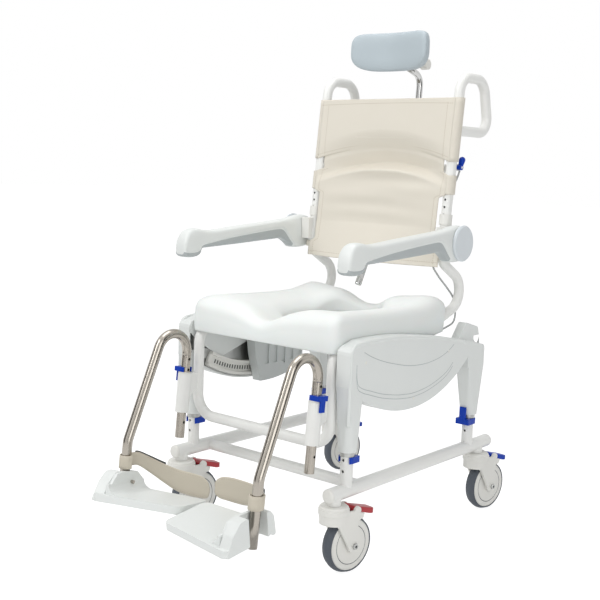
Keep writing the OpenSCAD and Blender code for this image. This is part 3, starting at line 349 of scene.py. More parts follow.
def moulded(name, colour, rough, grain_mm, depth_mm, patch=0.05, fixed=None):
    """Even coat or moulding: cloudy tone 70 mm wide, grain of grain_mm as bump and in the gloss."""
    material, tree = start_material(name)
    where = add(tree, "TexCoord").outputs["Object"]
    cloud = add(tree, "TexNoise", {"Vector": where, "Scale": 1 / 0.07, "Detail": 2.0})
    grain = add(tree, "TexNoise", {"Vector": where, "Scale": 1000 / grain_mm, "Detail": 3.0})
    deeper = tuple(c * (1 - patch) for c in colour[:3]) + (1.0,)
    tone = add(tree, "Mix", {0: cloud.outputs["Fac"], 6: tuple(colour), 7: deeper}, data_type="RGBA")
    gloss = add(tree, "MapRange", {"Value": grain.outputs["Fac"], "To Min": rough - 0.06,
                                   "To Max": rough + 0.06})
    bump = add(tree, "Bump", {"Height": grain.outputs["Fac"], "Distance": depth_mm / 1000, "Strength": 0.6})
    return shaded(material, {"Base Color": tone.outputs[2], "Roughness": gloss.outputs["Result"],
                             "Normal": bump.outputs["Normal"], **(fixed or {})})


def brushed(name, colour, rough, where="Object", scale=(STREAK_WIDE, STREAK_WIDE, STREAK_LONG)):
    """Drawn and brushed metal: bright, with fine streaks of noise drawn out along the tube."""
    material, tree = start_material(name)
    where = add(tree, "TexCoord").outputs[where]
    long = add(tree, "Mapping", {"Vector": where, "Scale": scale})
    streak = add(tree, "TexNoise", {"Vector": long.outputs["Vector"], "Scale": 1.0, "Detail": 2.0})
    gloss = add(tree, "MapRange", {"Value": streak.outputs["Fac"], "To Min": rough - 0.03,
                                   "To Max": rough + 0.04})
    deeper = tuple(c * 0.93 for c in colour[:3]) + (1.0,)
    tone = add(tree, "Mix", {0: streak.outputs["Fac"], 6: tuple(colour), 7: deeper}, data_type="RGBA")
    bump = add(tree, "Bump", {"Height": streak.outputs["Fac"], "Distance": 0.00005, "Strength": 0.1})
    return shaded(material, {"Base Color": tone.outputs[2], "Roughness": gloss.outputs["Result"],
                             "Normal": bump.outputs["Normal"], "Metallic": 1.0})


def woven(name, colour, thread_mm, rough, sheen):
    """Plain weave under a thin coat: two crossing rows of threads over the cloth's UV, soft uneven tone."""
    material, tree = start_material(name)
    flat = add(tree, "TexCoord").outputs["UV"]
    # A wave repeats every 2 pi / 20 divided by its scale, which is the thread's width here
    scale = 2 * math.pi / (20 * thread_mm / 1000)
    thread = {"Vector": flat, "Scale": scale, "Distortion": 0.6, "Detail": 1.0}
    warp, weft = (add(tree, "TexWave", thread, bands_direction=way) for way in "XY")
    both = add(tree, "Math", {0: warp.outputs["Fac"], 1: weft.outputs["Fac"]}, operation="MULTIPLY")
    cloud = add(tree, "TexNoise", {"Vector": flat, "Scale": 1 / 0.05, "Detail": 4.0})
    mixed = add(tree, "Math", {0: both.outputs[0], 1: cloud.outputs["Fac"]}, operation="MULTIPLY")
    deeper = tuple(c * f for c, f in zip(colour[:3], (0.93, 0.915, 0.88))) + (1.0,)
    tone = add(tree, "Mix", {0: mixed.outputs[0], 6: deeper, 7: tuple(colour)}, data_type="RGBA")
    bump = add(tree, "Bump", {"Height": both.outputs[0], "Distance": 0.0003, "Strength": 0.5})
    return shaded(material, {"Base Color": tone.outputs[2], "Normal": bump.outputs["Normal"],
                             "Roughness": rough, "Sheen Weight": sheen})


def make_finishes():
    """All finishes of the chair: those of the record's material slots, then those of single pieces."""
    c = colours()
    # Powder-coated steel: smooth bright coat with a faint orange peel
    FINISH["white_coated_tube"] = moulded("powder_coated_steel", c.tube, 0.34, 1.6, 0.04, 0.03,
                                          {"Coat Weight": 0.15, "Coat Roughness": 0.2})
    # Moulded ABS: satin white with a fine spark-eroded grain
    FINISH["white_moulded_plastic"] = moulded("moulded_abs_white", c.moulding, 0.4, 0.9, 0.03, 0.04)
    # Integral-skin polyurethane foam: soft matt skin that lets a little light in
    FINISH["white_soft_foam"] = moulded("polyurethane_foam_skin_white", c.cushion, 0.5, 1.2, 0.05, 0.03,
                                        {"Subsurface Weight": 0.05, "Sheen Weight": 0.05})
    FINISH["blue_grey_foam"] = moulded("polyurethane_foam_skin_blue_grey", c.pad, 0.5, 1.1, 0.05, 0.07,
                                       {"Sheen Weight": 0.05})
    # Glass-filled nylon: dull pale moulding with a coarser grain
    FINISH["pale_grey_plastic"] = moulded("glass_filled_nylon_pale", c.pale, 0.45, 1.0, 0.04, 0.05)
    # The grey nylon also paints the shade of the side covers' grooves
    FINISH["grey_plastic"] = moulded("glass_filled_nylon_grey_and_groove_shade", c.grey, 0.48, 1.0, 0.04, 0.06)
    # The dark nylon also paints the shade inside the rack slots and the bolt sockets
    FINISH["dark_plastic"] = moulded("moulded_nylon_dark_and_painted_shade", c.dark, 0.5, 0.8, 0.04, 0.1)
    # Dyed polypropylene: clear strong colour with a waxy gloss, weaker on the blue
    FINISH["blue_plastic"] = moulded("moulded_polypropylene_blue", c.blue, 0.36, 1.0, 0.03, 0.08,
                                     {"Specular IOR Level": 0.22})
    FINISH["red_plastic"] = moulded("moulded_polypropylene_red", c.red, 0.38, 1.0, 0.03, 0.08)
    # Thermoplastic rubber tread: dull grey with a moulded grain; on each wheel's face it also paints the
    # shade of a groove
    FINISH["grey_rubber_tyre"] = moulded("thermoplastic_rubber_tread_and_groove_shade", c.tread_and_groove_shade, 0.62, 1.4, 0.08, 0.14)
    # Brushed stainless tube and plain zinc-plated steel
    FINISH["stainless_tube"] = brushed("brushed_stainless_steel", c.steel, 0.24)
    FINISH["bare_steel"] = brushed("zinc_plated_steel", linear("#b5b6b4"), 0.38)
    # Coated polyester: 1 mm threads are drawn 2.6 mm apart so that they show in the render
    FINISH["cream_coated_cloth"] = woven("coated_polyester_cloth", c.cloth, 2.6, 0.68, 0.12)
    FINISH["strap"] = woven("coated_polyester_strap", c.strap, 2.2, 0.72, 0.12)
    # Moulded carriages and pivot caps: lighter satin greys
    FINISH["light_grey"] = moulded("glass_filled_nylon_light_grey", linear("#cfd3d2"), 0.46, 1.0, 0.04, 0.05)
    FINISH["cap"] = moulded("moulded_abs_blue_grey", linear("#dbe1e5"), 0.4, 0.9, 0.03, 0.05)
    # Chromed steel bar: bright and smooth with fine polishing marks
    FINISH["chrome"] = brushed("polished_chromed_steel", linear("#c9c9c8"), 0.14)
    # The same two metals on the bent tubes, whose streaks follow the bends
    bent = (STREAK_WIDE, STREAK_LONG, 1.0)
    FINISH["bent_stainless"] = brushed("brushed_stainless_steel_bent", c.steel, 0.22, "UV", bent)
    FINISH["bent_chrome"] = brushed("polished_chromed_steel_bent", linear("#c9c9c8"), 0.12, "UV", bent)
    # Nylon cable sheath: dull light grey
    FINISH["sheath"] = moulded("extruded_nylon_sheath", linear("#b9bbbb"), 0.5, 0.6, 0.03, 0.1)
    # Polypropylene webbing: black and dull
    FINISH["webbing"] = woven("woven_polypropylene_webbing", linear("#2b2b2d"), 2.0, 0.7, 0.1)
    # Spun polyester thread: a shade deeper than the cloth
    FINISH["thread"] = moulded("polyester_thread", linear("#c4b9a6"), 0.6, 0.6, 0.05, 0.1)


# Nodes with a finish of their own, and the rounding of moulded edges in millimetres
OWN_FINISH = {"headrest_post": "chrome", "tilt_cable": "sheath", "headrest_knob": "pale_grey_plastic",
              "tilt_carriage_left": "light_grey", "tilt_carriage_right": "light_grey",
              "armrest_cap_left": "cap", "armrest_cap_right": "cap"}
SOFT_EDGES = {"side_cover_left": 2.5, "side_cover_right": 2.5}


class CHAIR_OT_frame_finish(bpy.types.Operator):
    """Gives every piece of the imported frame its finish"""
    bl_idname = "chair.frame_finish"
    bl_label = "Frame finishes"

    def execute(self, context):
        make_finishes()
        for part in frame["record"]["subparts"]:
            mesh = NODES[part["node"]].data
            mesh.materials.clear()
            mesh.materials.append(FINISH[OWN_FINISH.get(part["node"], part["material_slot"])])
        for name, width in SOFT_EDGES.items():
            node = NODES[name]
            weld = node.modifiers.new("weld", "WELD")
            weld.merge_threshold = 1e-5
            soft = node.modifiers.new("soft_edges", "BEVEL")
            soft.width, soft.segments = width / 1000, 3
            soft.limit_method, soft.angle_limit = "ANGLE", math.radians(50)
            soft.harden_normals = True
        return {"FINISHED"}


# Seat cushion

# Opening: half its width and length, the place of its middle along Y, and the power of its superellipse
HOLE_X, HOLE_Y, HOLE_MID, HOLE_POWER = 100, 135, -25, 2.4
# Heights of the seat's level middle and of its raised rear
SEAT_MIDDLE, SEAT_REAR = 553, 574


def seat_top(x, y):
    """Height of the seat: a level middle that rises to the sides, a raised rear with a dip, and at the front
    a groove between two lobes, all made of smooth steps and bell curves."""
    rear = SEAT_REAR - 12 * (1 - np.minimum(1, (x / 187) ** 2)) - 30 * np.exp(-(np.abs(x) / 62) ** 2.6)
    s = step(y, 40, 125)
    groove = 30 * np.exp(-(x / 46) ** 2) * step(-y, 110, 190) * (1 - 0.4 * step(-y, 230, 290))
    lobe = 9 * np.exp(-((np.abs(x) - 118) / 52) ** 2) * np.exp(-((y + 215) / 70) ** 2)
    return s * rear + (1 - s) * (SEAT_MIDDLE + 15 * (x / 215) ** 2) - groove + lobe


def seat_roof(x, y):
    """Underside of the cushion: level in the middle, and over the tubes rising along their rear bend."""
    level = RAIL_Z + FRAME_D / 2 + 0.3
    slope = RAIL_Z + (y - 63) * 0.348 + FRAME_D / 2 / math.cos(math.radians(19.2)) + 0.8
    return level + np.maximum(0, slope - level) * step(np.abs(x), 110, 172)


def seat_outline(count):
    """Rounded rectangle, even steps along its four sides and corners, as points and outward normals."""
    half_x, half_y, r, mid = 219.5, 228.0, 26.0, -70.0
    corner = np.array([[1, 1], [-1, 1], [-1, -1], [1, -1]]) * (half_x - r, half_y - r)
    a = np.radians(np.arange(0, 91, 10))
    ring, normal = [], []
    for k in range(4):
        turn = np.stack([np.cos(a + k * math.pi / 2), np.sin(a + k * math.pi / 2)], -1)
        ring.append(corner[k] + r * turn)
        normal.append(turn)
    ring, normal = np.concatenate(ring), np.concatenate(normal)
    closed = np.concatenate([ring, ring[:1]])
    run = run_along(closed)
    t = np.linspace(0, run[-1], count, endpoint=False)
    around = np.concatenate([normal, normal[:1]])
    return at_run(t, run, closed) + (0, mid), unit(at_run(t, run, around))


class CHAIR_OT_seat_cushion(bpy.types.Operator):
    """Soft holed seat: one profile of lip, top, edge, side and underside carried round the opening"""
    bl_idname = "chair.seat_cushion"
    bl_label = "Seat cushion"

    def execute(self, context):
        edge, lip = sizes().seat_edge * 1000, sizes().hole_edge * 1000
        outer, out = seat_outline(260)
        a = np.arctan2(outer[:, 1] - HOLE_MID, outer[:, 0])
        reach = np.abs(np.cos(a) / HOLE_X) ** HOLE_POWER + np.abs(np.sin(a) / HOLE_Y) ** HOLE_POWER
        reach = reach ** (-1 / HOLE_POWER)
        inner = np.stack([reach * np.cos(a), reach * np.sin(a) + HOLE_MID], -1)
        width = np.linalg.norm(outer - inner, axis=1)[:, None]
        quarter = np.radians(np.linspace(0, 90, 9))
        # Way from the opening to the outer edge, 0 to 1: a quarter round, an even run and a quarter round
        lip_w, edge_w = np.minimum(lip, 0.38 * width), np.minimum(1.5 * edge, 0.55 * width)
        run = lip_w + (width - lip_w - edge_w) * np.linspace(0.05, 0.95, 14)
        way = [lip_w * (1 - np.sin(quarter))[::-1], run, width - edge_w * (1 - np.sin(quarter))]
        way = np.concatenate(way, 1) / width
        flat = inner[:, None] + (outer - inner)[:, None] * way[..., None]
        dish = sizes().seat_dish * 1000 * (1 - way) ** 1.5 * (1 - step(flat[..., 1], 10, 90))
        x, y = flat[..., 0], flat[..., 1]
        top = np.maximum(seat_top(x, y) - dish, seat_roof(x, y) + 7)
        # Both quarter rounds drop below that height, as far as the cushion's thickness lets them
        room = np.clip(top[:, :1] - seat_roof(*inner.T)[:, None] - 4, 2, 0.55 * lip)
        top[:, :9] -= room * (1 - np.cos(quarter))[::-1]
        low = np.where(outer[:, 1] > 133, seat_roof(*outer.T) + 4, 478 + 10 * step(outer[:, 1], 60, 150))
        top[:, -9:] -= np.clip(top[:, -1:] - low[:, None] - 2, 2, edge) * (1 - np.cos(quarter))
        # Side that bulges a little, a hem turned in below it, and the underside back to the opening's wall
        crest = top[:, -1]
        fall = np.linspace(0.12, 0.93, 8)[None]
        bulge = (2.0 * np.sin(np.pi * fall) * np.minimum(1, (crest - low) / 40)[:, None])[..., None]
        side = outer[:, None] - 2.0 * out[:, None] + bulge * out[:, None]
        flat[:, -1] -= 2.0 * out
        flat[:, -2] -= 1.6 * out
        flat[:, -3] -= 0.8 * out
        side_z = crest[:, None] + (low - crest)[:, None] * fall
        hem = np.stack([outer - 2.6 * out, outer - 4.4 * out], 1)
        under = np.maximum(low + 1, seat_roof(*outer.T) + 0.3)
        hem_z = np.stack([low, low + 0.6], 1)
        back = np.stack([outer - 4.7 * out, (outer + inner) / 2, inner], 1)
        back_z = np.stack([under, seat_roof(*(outer + inner).T / 2), seat_roof(*inner.T)], 1)
        wall_z = back_z[:, 2:] + (top[:, :1] - back_z[:, 2:]) * np.array([[0.35, 0.7]])
        xy = np.concatenate([flat, side, hem, back, np.tile(inner[:, None], (1, 2, 1))], 1)
        z = np.concatenate([top, side_z, hem_z, back_z, wall_z], 1)
        rings = np.concatenate([xy, z[..., None]], -1)
        faces = [quads(*rings.shape[:2], True, True)]
        piece = build("seat_cushion", rings.reshape(-1, 3), faces, "white_soft_foam")
        settle(piece, "seat")
        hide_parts("seat_pad")
        return {"FINISHED"}


# Headrest cushion

# Half its width, depth and height, its rear face along Y, how far its ends bend forward, and its height
HEAD_X, HEAD_Y, HEAD_Z, HEAD_REAR, HEAD_BEND, HEAD_MID = 115, 19, 47.5, 206, 26, 1168


class CHAIR_OT_headrest_cushion(bpy.types.Operator):
    """Curved headrest cushion: superellipses carried along a bent line, closing at both ends"""
    bl_idname = "chair.headrest_cushion"
    bl_label = "Headrest cushion"

    def execute(self, context):
        a = np.radians(np.linspace(-89, 89, 70))[:, None]
        b = np.radians(np.linspace(0, 360, 72, endpoint=False))[None]
        x = HEAD_X * np.sin(a) / math.sin(math.radians(89)) + 0 * b
        # The upper corners are squarer than the lower ones
        tall = np.where(np.sin(b) > 0, (1 - np.abs(np.sin(a)) ** 9) ** 0.3,
                        (1 - np.abs(np.sin(a)) ** 4.5) ** 0.42)
        deep = (1 - np.abs(np.sin(a)) ** 7) ** (1 / 3)
        r = (np.abs(np.cos(b)) ** 3.6 + np.abs(np.sin(b)) ** 3.6) ** (-1 / 3.6)
        # A shallow hollow in the face, deeper in its lower half
        hollow = 6 * np.exp(-(x / 70) ** 2) * np.clip(-np.cos(b), 0, 1) * (1 - 0.3 * np.sin(b))
        y = HEAD_REAR - HEAD_Y - HEAD_BEND * (x / HEAD_X) ** 2 + HEAD_Y * deep * r * np.cos(b) + hollow
        z = HEAD_MID + HEAD_Z * tall * r * np.sin(b)
        piece = loft("headrest_cushion", np.stack([x, y, z], -1), "blue_grey_foam")
        settle(piece, "head")
        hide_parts("headrest_pad")
        return {"FINISHED"}


# Back cloth

# Lower cloth: heights of its ends and half its width where its edge is cut in
LOWER_Z, LOWER_TOP, LOWER_CUT = 643, 955, 184
# UV of the cloths: half their width and the run round a sleeve in metres, and the height it starts from
CLOTH_HALF, SLEEVE_RUN, CLOTH_ZERO = 0.2, 0.069, 640


def back_y(z):
    """Middle line of the back tubes: a straight lean from their low end."""
    return BACK_LOW[0] + (z - BACK_LOW[1]) * BACK_LEAN


def cloth_fold(z, u):
    """Depth of the fold between the cloths: level along an arch, deepest in the middle, and forward again
    below it, as a product of smooth steps."""
    level = z + 42 * u * u
    depth = (1 - step(level, 892, 976)) * (0.06 + 0.94 * step(level, 870, 893))
    return sizes().cloth_fold * 1000 * depth * np.maximum(0, 1 - u * u) ** 0.8


def upper_cloth(u, v):
    """Upper cloth over u across and v up: a slight belly between the tubes, its arched low part turned in to
    the fold."""
    low = 897 + 34 * (1 - u * u)
    z = low + (BACK_TOP - 2 - low) * v
    belly = 4 * np.maximum(0, 1 - u * u) * (1 - 0.5 * v)
    return np.stack([u * FRAME_X, back_y(z) - SLEEVE_R - CLOTH_T / 2 + belly + cloth_fold(z, u), z], -1)


def lower_hold(z):
    """1 where the cloth reaches the tubes, at the low sleeve and the strap, 0 where its edge is cut in."""
    return np.maximum(1 - step(z, 676, 690), step(z, 808, 818) * (1 - step(z, 864, 874)))


def lower_cloth(u, v):
    """Lower cloth over u across and v up: bowed forward at its foot, hollow above, with level folds."""
    z = LOWER_Z + (LOWER_TOP - LOWER_Z) * v
    x = u * (LOWER_CUT + (FRAME_X - LOWER_CUT) * lower_hold(z))
    across = x / FRAME_X
    sag = np.minimum(10, -30 + (z - LOWER_Z) * 0.43)
    level = z + 10 * across ** 2 - 6 * across
    fade = 1 - step(z, 868, 884)
    wave = -4.4 * np.cos(2 * np.pi * (level - 871) / 56) * step(z, 750, 868) * fade
    wave = wave - 1.1 * np.cos(2 * np.pi * (level - 800) / 38 + 2 * across) * step(z, 700, 790) * fade
    middle = np.maximum(0, 1 - (x / 186) ** 2)
    behind = 2.8 * step(z + 34 * across ** 2, 918, 930)
    y = back_y(z) - SLEEVE_R - CLOTH_T / 2 + (sag * (1 - step(z, 860, 905)) + wave) * middle
    y = y + cloth_fold(z, across) + behind
    return np.stack([x, y, z], -1)


def sleeve(a, b, side):
    """Sleeve of cloth round a back tube between two heights: three quarters of a turn from the front out."""
    turn = np.radians(np.linspace(-90, 185, 34))[None]
    z = np.linspace(a, b, 14)[:, None]
    r = SLEEVE_R + CLOTH_T / 2
    x = side * (FRAME_X + r * np.cos(turn)) + 0 * z
    y = back_y(z) + r * np.sin(turn)
    return np.stack([x, y, z + 0 * turn], -1)


def cloth_piece(name, function, rows, cols, sleeves):
    """Cloth sheet with its sleeves as one mesh of bare surface, its UV in metres, thickened by a modifier."""
    v, u = np.meshgrid(np.linspace(0, 1, rows), np.linspace(-1, 1, cols), indexing="ij")
    grid = function(u, v)
    points, faces = [grid.reshape(-1, 3)], [quads(rows, cols)]
    uv = [np.stack([u * CLOTH_HALF, (grid[..., 2] - CLOTH_ZERO) / 1000], -1).reshape(-1, 2)]
    for a, b, side in sleeves:
        part = sleeve(a, b, side)
        faces.append(quads(*part.shape[:2], start=sum(len(p) for p in points))[:, ::-side])
        points.append(part.reshape(-1, 3))
        across = side * (CLOTH_HALF + np.linspace(0, SLEEVE_RUN, part.shape[1]))[None] + 0 * part[..., 0]
        uv.append(np.stack([across, (part[..., 2] - CLOTH_ZERO) / 1000], -1).reshape(-1, 2))
    piece = build(name, np.concatenate(points), faces, "cream_coated_cloth", uv=np.concatenate(uv))
    wall = piece.modifiers.new("thickness", "SOLIDIFY")
    wall.thickness, wall.offset = 0.0024, 0.0
    settle(piece, "seat")
    return piece


class CHAIR_OT_back_cloth(bpy.types.Operator):
    """Two sheets of coated cloth, sleeved on the back tubes, with sewn hems"""
    bl_idname = "chair.back_cloth"
    bl_label = "Back cloth"

    def execute(self, context):
        # Each sleeve is given by its low end, its top and its side
        upper = cloth_piece("back_cloth_upper", upper_cloth, 60, 90, [(897, 1050, s) for s, _ in SIDES])
        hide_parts("back_cover_upper")
        lower = cloth_piece("back_cloth_lower", lower_cloth, 150, 90,
                            [(a, b, s) for s, _ in SIDES for a, b in ((665, 680), (818, 864))])
        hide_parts("back_cover_lower")
        across, up = np.linspace(-1, 1, 200), np.linspace(0.03, 1, 200)
        front = np.array([0, -1.0, 0])
        # Rows of stitches on each cloth: heights of the level rows, places and reach of the upright ones
        for name, surface, levels, sides, reach in (("upper", upper_cloth, (0.91, 0.06), (-0.9, 0.9), 0.97),
                                                    ("lower", lower_cloth, (0.035,), (-0.93, 0.93), 0.74)):
            rows = [surface(across, np.full(200, k)) for k in levels]
            rows += [surface(np.full(200, k), up * reach) for k in sides]
            seam = stitches("back_stitching_" + name, [row + front * 1.3 for row in rows], front, "thread")
            settle(seam, "seat")
        return {"FINISHED"}


# Armrests

# Sections along the arm: Y, top, edge between white and grey, underside, share of the width, and how far the
# grey part stands back
ARM_STATIONS = (
    (170, 714, 705, 698, 0.5, 0), (164, 733, 690, 679, 0.86, 0), (152, 743, 678, 667, 1, 0),
    (130, 748, 672, 661, 1, 0), (110, 747, 670, 660, 1, 0), (90, 743, 668, 660, 1, 0),
    (85, 742, 668, 661, 1, 6), (64, 738, 690, 676, 1, 6), (44, 735, 714, 686, 1, 6),
    (26, 733, 716, 685, 1, 6), (-40, 727, 709, 681, 1, 6), (-122, 721, 700, 676, 1, 6),
    (-180, 715, 691, 673, 1, 6), (-218, 712, 684, 671, 1, 6), (-240, 713, 680, 670, 1, 6),
    (-255, 716, 677, 669, 1, 5), (-260, 717, 672, 656, 1, 1), (-268, 718, 664, 651, 1, 0),
    (-282, 718, 662, 649, 1, 0), (-294, 714, 662, 649, 1, 0), (-303, 705, 662, 650, 0.97, 0),
    (-309, 692, 663, 652, 0.9, 0), (-313, 676, 664, 656, 0.7, 0))
ARM_X, ARM_HALF = 242, 20


class CHAIR_OT_armrests(bpy.types.Operator):
    """Armrests: a rounded section carried from the pivot to the turned-down nose, with a grey underside"""
    bl_idname = "chair.armrests"
    bl_label = "Armrests"

    def execute(self, context):
        s = np.array(ARM_STATIONS, float)
        place_y, top, edge, low = s[:, 0], s[:, 1], s[:, 2], s[:, 3]
        w, d = ARM_HALF * s[:, 4], s[:, 5]
        g, h = np.minimum(edge - low, 10), top - edge
        half = np.stack([np.stack(p, -1) for p in (
            (0.6 * (w - d), low), (w - d - 2, low + 0.25 * g), (w - d, low + 0.6 * g),
            (w - d, edge - 0.05 * (edge - low)), (w - 0.6, edge + 0.02 * h), (w, edge + 0.15 * h),
            (w, edge + 0.5 * h), (0.94 * w, edge + 0.78 * h), (0.76 * w, top - 0.07 * h),
            (0.45 * w, top - 0.015 * h))], 1)
        zero = np.zeros(len(s))
        bottom, crown = np.stack([zero, low], -1)[:, None], np.stack([zero, top], -1)[:, None]
        section = np.concatenate([bottom, half, crown, half[:, ::-1] * (-1, 1)], 1)
        under = np.array([0, 1, 2, 3, 18, 19, 20, 21])
        for side, name in SIDES:
            rings = np.stack([side * (ARM_X + section[..., 0]), place_y[:, None] + 0 * section[..., 0],
                              section[..., 1]], -1)
            which = np.zeros((len(s) - 1, section.shape[1]), int)
            which[6:, under] = 1
            piece = loft("armrest_shell_" + name, rings, ("white_moulded_plastic", "grey_plastic"),
                         which.ravel(), flip=side < 0)
            smooth = piece.modifiers.new("smooth", "SUBSURF")
            smooth.levels = smooth.render_levels = 2
            settle(piece, "arm_" + name)
            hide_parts("armrest_" + name)
        return {"FINISHED"}


# Heel straps

# Points along a strap: inward and forward from the tube's middle, share of its fall, and its height
STRAP_LINE = (
    (17.5, 0, 0, 30), (13, 9, 0, 30), (2, 13.5, 0, 30), (-9, 9, 0, 30), (-13.5, -2, 0, 30), (-9, -13, 0, 30),
    (1.4, -20, 0, 30), (14, -32, 0.01, 30), (36, -53, 0.32, 36), (62, -69, 0.66, 44), (95, -75, 0.92, 52),
    (130, -77, 1, 54), (158, -76, 1, 51), (180, -70, 1, 46))
STRAP_FALL = {"left": 64, "right": 34}
# Pivot of the right footplate, and how far the left plate is turned, in degrees
FOOT_X, FOOT_Y, FOOT_Z, LEFT_TURN = 198, -512.48, 159.53, 14


def at_foot(points, side):
    """Points about a footplate's pivot, mirrored for the left side, turned as the plate is turned."""
    turn = math.radians(LEFT_TURN if side < 0 else 0)
    p = np.asarray(points, float) * (side, 1, 1)
    x = p[..., 0] * math.cos(turn) - p[..., 1] * math.sin(turn)
    y = p[..., 0] * math.sin(turn) + p[..., 1] * math.cos(turn)
    return np.stack([x, y, p[..., 2]], -1) + (side * FOOT_X, FOOT_Y, FOOT_Z)


class CHAIR_OT_heel_straps(bpy.types.Operator):
    """Heel straps: a flat band carried round the tube and behind the heel, with sewn edges"""
    bl_idname = "chair.heel_straps"
    bl_label = "Heel straps"

    def execute(self, context):
        line = through(STRAP_LINE, 120)
        ahead = unit(np.gradient(line[:, :2], axis=0))
        normal = np.stack([-ahead[:, 1], ahead[:, 0]], -1)
        lean = math.tan(math.radians(6.3))
        run = run_along(line[:, :2]) / 1000
        # Section of the band: offset across and share of its height, a soft edge above and below
        section = np.array([[1.3, 0.03], [1.3, 0.25], [1.3, 0.5], [1.3, 0.75], [1.3, 0.97], [0, 1.0],
                            [-1.3, 0.97], [-1.3, 0.75], [-1.3, 0.5], [-1.3, 0.25], [-1.3, 0.03], [0, 0.0]])
        end = np.sqrt(1 - 0.8 * np.clip((np.arange(120) - 110) / 9, 0, 1) ** 2)
        cup = 2.2 * np.sin(np.pi * section[:, 1]) * step(np.arange(120), 66, 100)[:, None]

        def band(drop, section, cup, lift=0.0):
            """Section carried along the line, offset along its normal, falling by drop to its free end."""
            share = 0.5 + (section[None, :, 1] - 0.5) * end[:, None]
            z = 28 - drop * line[:, 2:3] + share * line[:, 3:4]
            off = section[None, :, 0] + lift - cup
            x = -(line[:, 0:1] + normal[:, 0:1] * off)
            y = (1 - line[:, 2:3]) * z * lean - line[:, 1:2] - normal[:, 1:2] * off
            return np.stack([x, y, z], -1)

        for side, name in SIDES:
            drop = STRAP_FALL[name]
            rings = at_foot(band(drop, section, cup), side)
            uv = np.stack(np.broadcast_arrays(run[:, None], section[None, :, 1] * 0.05), -1).reshape(-1, 2)
            piece = loft("heel_strap_band_" + name, rings, "strap", uv=uv, flip=side < 0)
            settle(piece, "hanger_" + name)
            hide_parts("heel_strap_" + name)
            edges = [at_foot(band(drop, np.array([[1.3, k]]), cup[:, 2:3] * 0.3, 0.1)[70:114, 0], side)
                     for k in (0.09, 0.91)]
            seam = stitches("heel_strap_stitching_" + name, edges, np.array([0, -1.0, 0]), "thread")
            settle(seam, "hanger_" + name)
            end_part = at_foot(band(drop, section * (0.7, 0.42) + (0, 0.66), 0 * cup, -2.6)[60:84], side)
            tail = loft("heel_strap_tail_" + name, end_part, "webbing",
                        uv=uv.reshape(120, -1, 2)[60:84].reshape(-1, 2), flip=side < 0)
            settle(tail, "hanger_" + name)
        return {"FINISHED"}


# Bright tubes

# Corners of each bent tube with the radii of its bends, and the radius of its skin
HANGER_PATH = (((0, -7), (0, 283.5), (160, -196), (163, -335.5)), (46.4, 40))
BAR_PATH = (((72.8, 586.5), (304, 1030), (309, 1118), (239, 1139.1)), (60, 30))
HANGER_R, BAR_R = 11.12, 8.60
# Low end of a hanger's upright leg and its lean
HANGER_X, HANGER_Y, HANGER_Z, HANGER_LEAN = 198.0, -325.7, 430, math.radians(5.1)


class CHAIR_OT_bright_tubes(bpy.types.Operator):
    """Polished skin of the bent metal tubes, a tenth of a millimetre over the frame's own"""
    bl_idname = "chair.bright_tubes"
    bl_label = "Bright tubes"

    def execute(self, context):
        leg = rounded(*HANGER_PATH)
        lean, rise = math.sin(HANGER_LEAN), math.cos(HANGER_LEAN)
        y = leg[:, 1] * lean - leg[:, 0] * rise + HANGER_Y
        z = leg[:, 1] * rise + leg[:, 0] * lean + HANGER_Z
        for side, name in SIDES:
            line = upright(side * HANGER_X, np.stack([y, z], -1))
            piece = sweep("hanger_tube_" + name, line, HANGER_R, "bent_stainless", 48)
            settle(piece, "hanger_" + name)
        piece = sweep("headrest_bar", upright(0, rounded(*BAR_PATH)), BAR_R, "bent_chrome", 40)
        settle(piece, "head_post")
        return {"FINISHED"}


# Cover details

# Lines pressed into a side cover and the rear part of its rim, as places along Y and Z; grey beads along the
# pressed lines paint the shade of their grooves
COVER_LINE = ((-272, 461), (-271, 440), (-265, 417), (-247, 406), (-221, 398), (-175, 384.5), (-124, 374.6),
              (-88, 370.4), (-51, 368.4), (7.5, 374), (63, 388), (97, 402.6), (118, 419))
COVER_BOW = ((-247, 485), (-219, 472), (-175, 457), (-122, 444), (-68, 434), (-6, 431), (52, 437), (95, 450),
             (119, 463))
COVER_RIM = ((-246, 503.5), (-192, 504.5), (-115, 502.5), (-34, 494.5), (53, 483.5), (121, 472.5), (170, 463))
LINE_X, RIM_X, SCREW_X = 258.4, 256.5, 258.8
SCREW = ((0.1, 0), (3.6, 0), (3.6, 0.6), (2.9, 1.1), (1.5, 1.2), (1.3, 0.5), (0.1, 0.5))
# Slots of a tilt rack: middle and radius of their arc, degrees between them, and their floor's two faces; the
# floors are dark plates that paint the shade inside the slots
TILT_Y, TILT_Z, RACK_RADIUS, SLOT_STEP = -60, 720, 361, 1.5
SLOT_OUT, SLOT_IN = 222.4, 221.0


def rack_slot_shade(side):
    """Points and faces of a rack's slot floors, dark plates that paint the shade inside the slots: smaller
    inward, turned about the tilt's middle.
    """
    spot = np.array([[2.4, 4.8], [-2.4, 4.8], [-2.4, -4.8], [2.4, -4.8]])
    plate = np.concatenate([upright(side * SLOT_OUT, spot), upright(side * SLOT_IN, spot * 0.9)])
    a = np.radians(SLOT_STEP * np.arange(-16, 11))[:, None]
    y, z = plate[:, 1], plate[:, 2] - RACK_RADIUS
    slots = np.stack([0 * a + plate[:, 0], TILT_Y + y * np.cos(a) - z * np.sin(a),
                      TILT_Z + y * np.sin(a) + z * np.cos(a)], -1)
    shell = np.concatenate([quads(2, 4, wrap_cols=True), [[0, 3, 2, 1], [4, 5, 6, 7]]])
    return slots.reshape(-1, 3), [shell + 8 * k for k in range(len(a))]


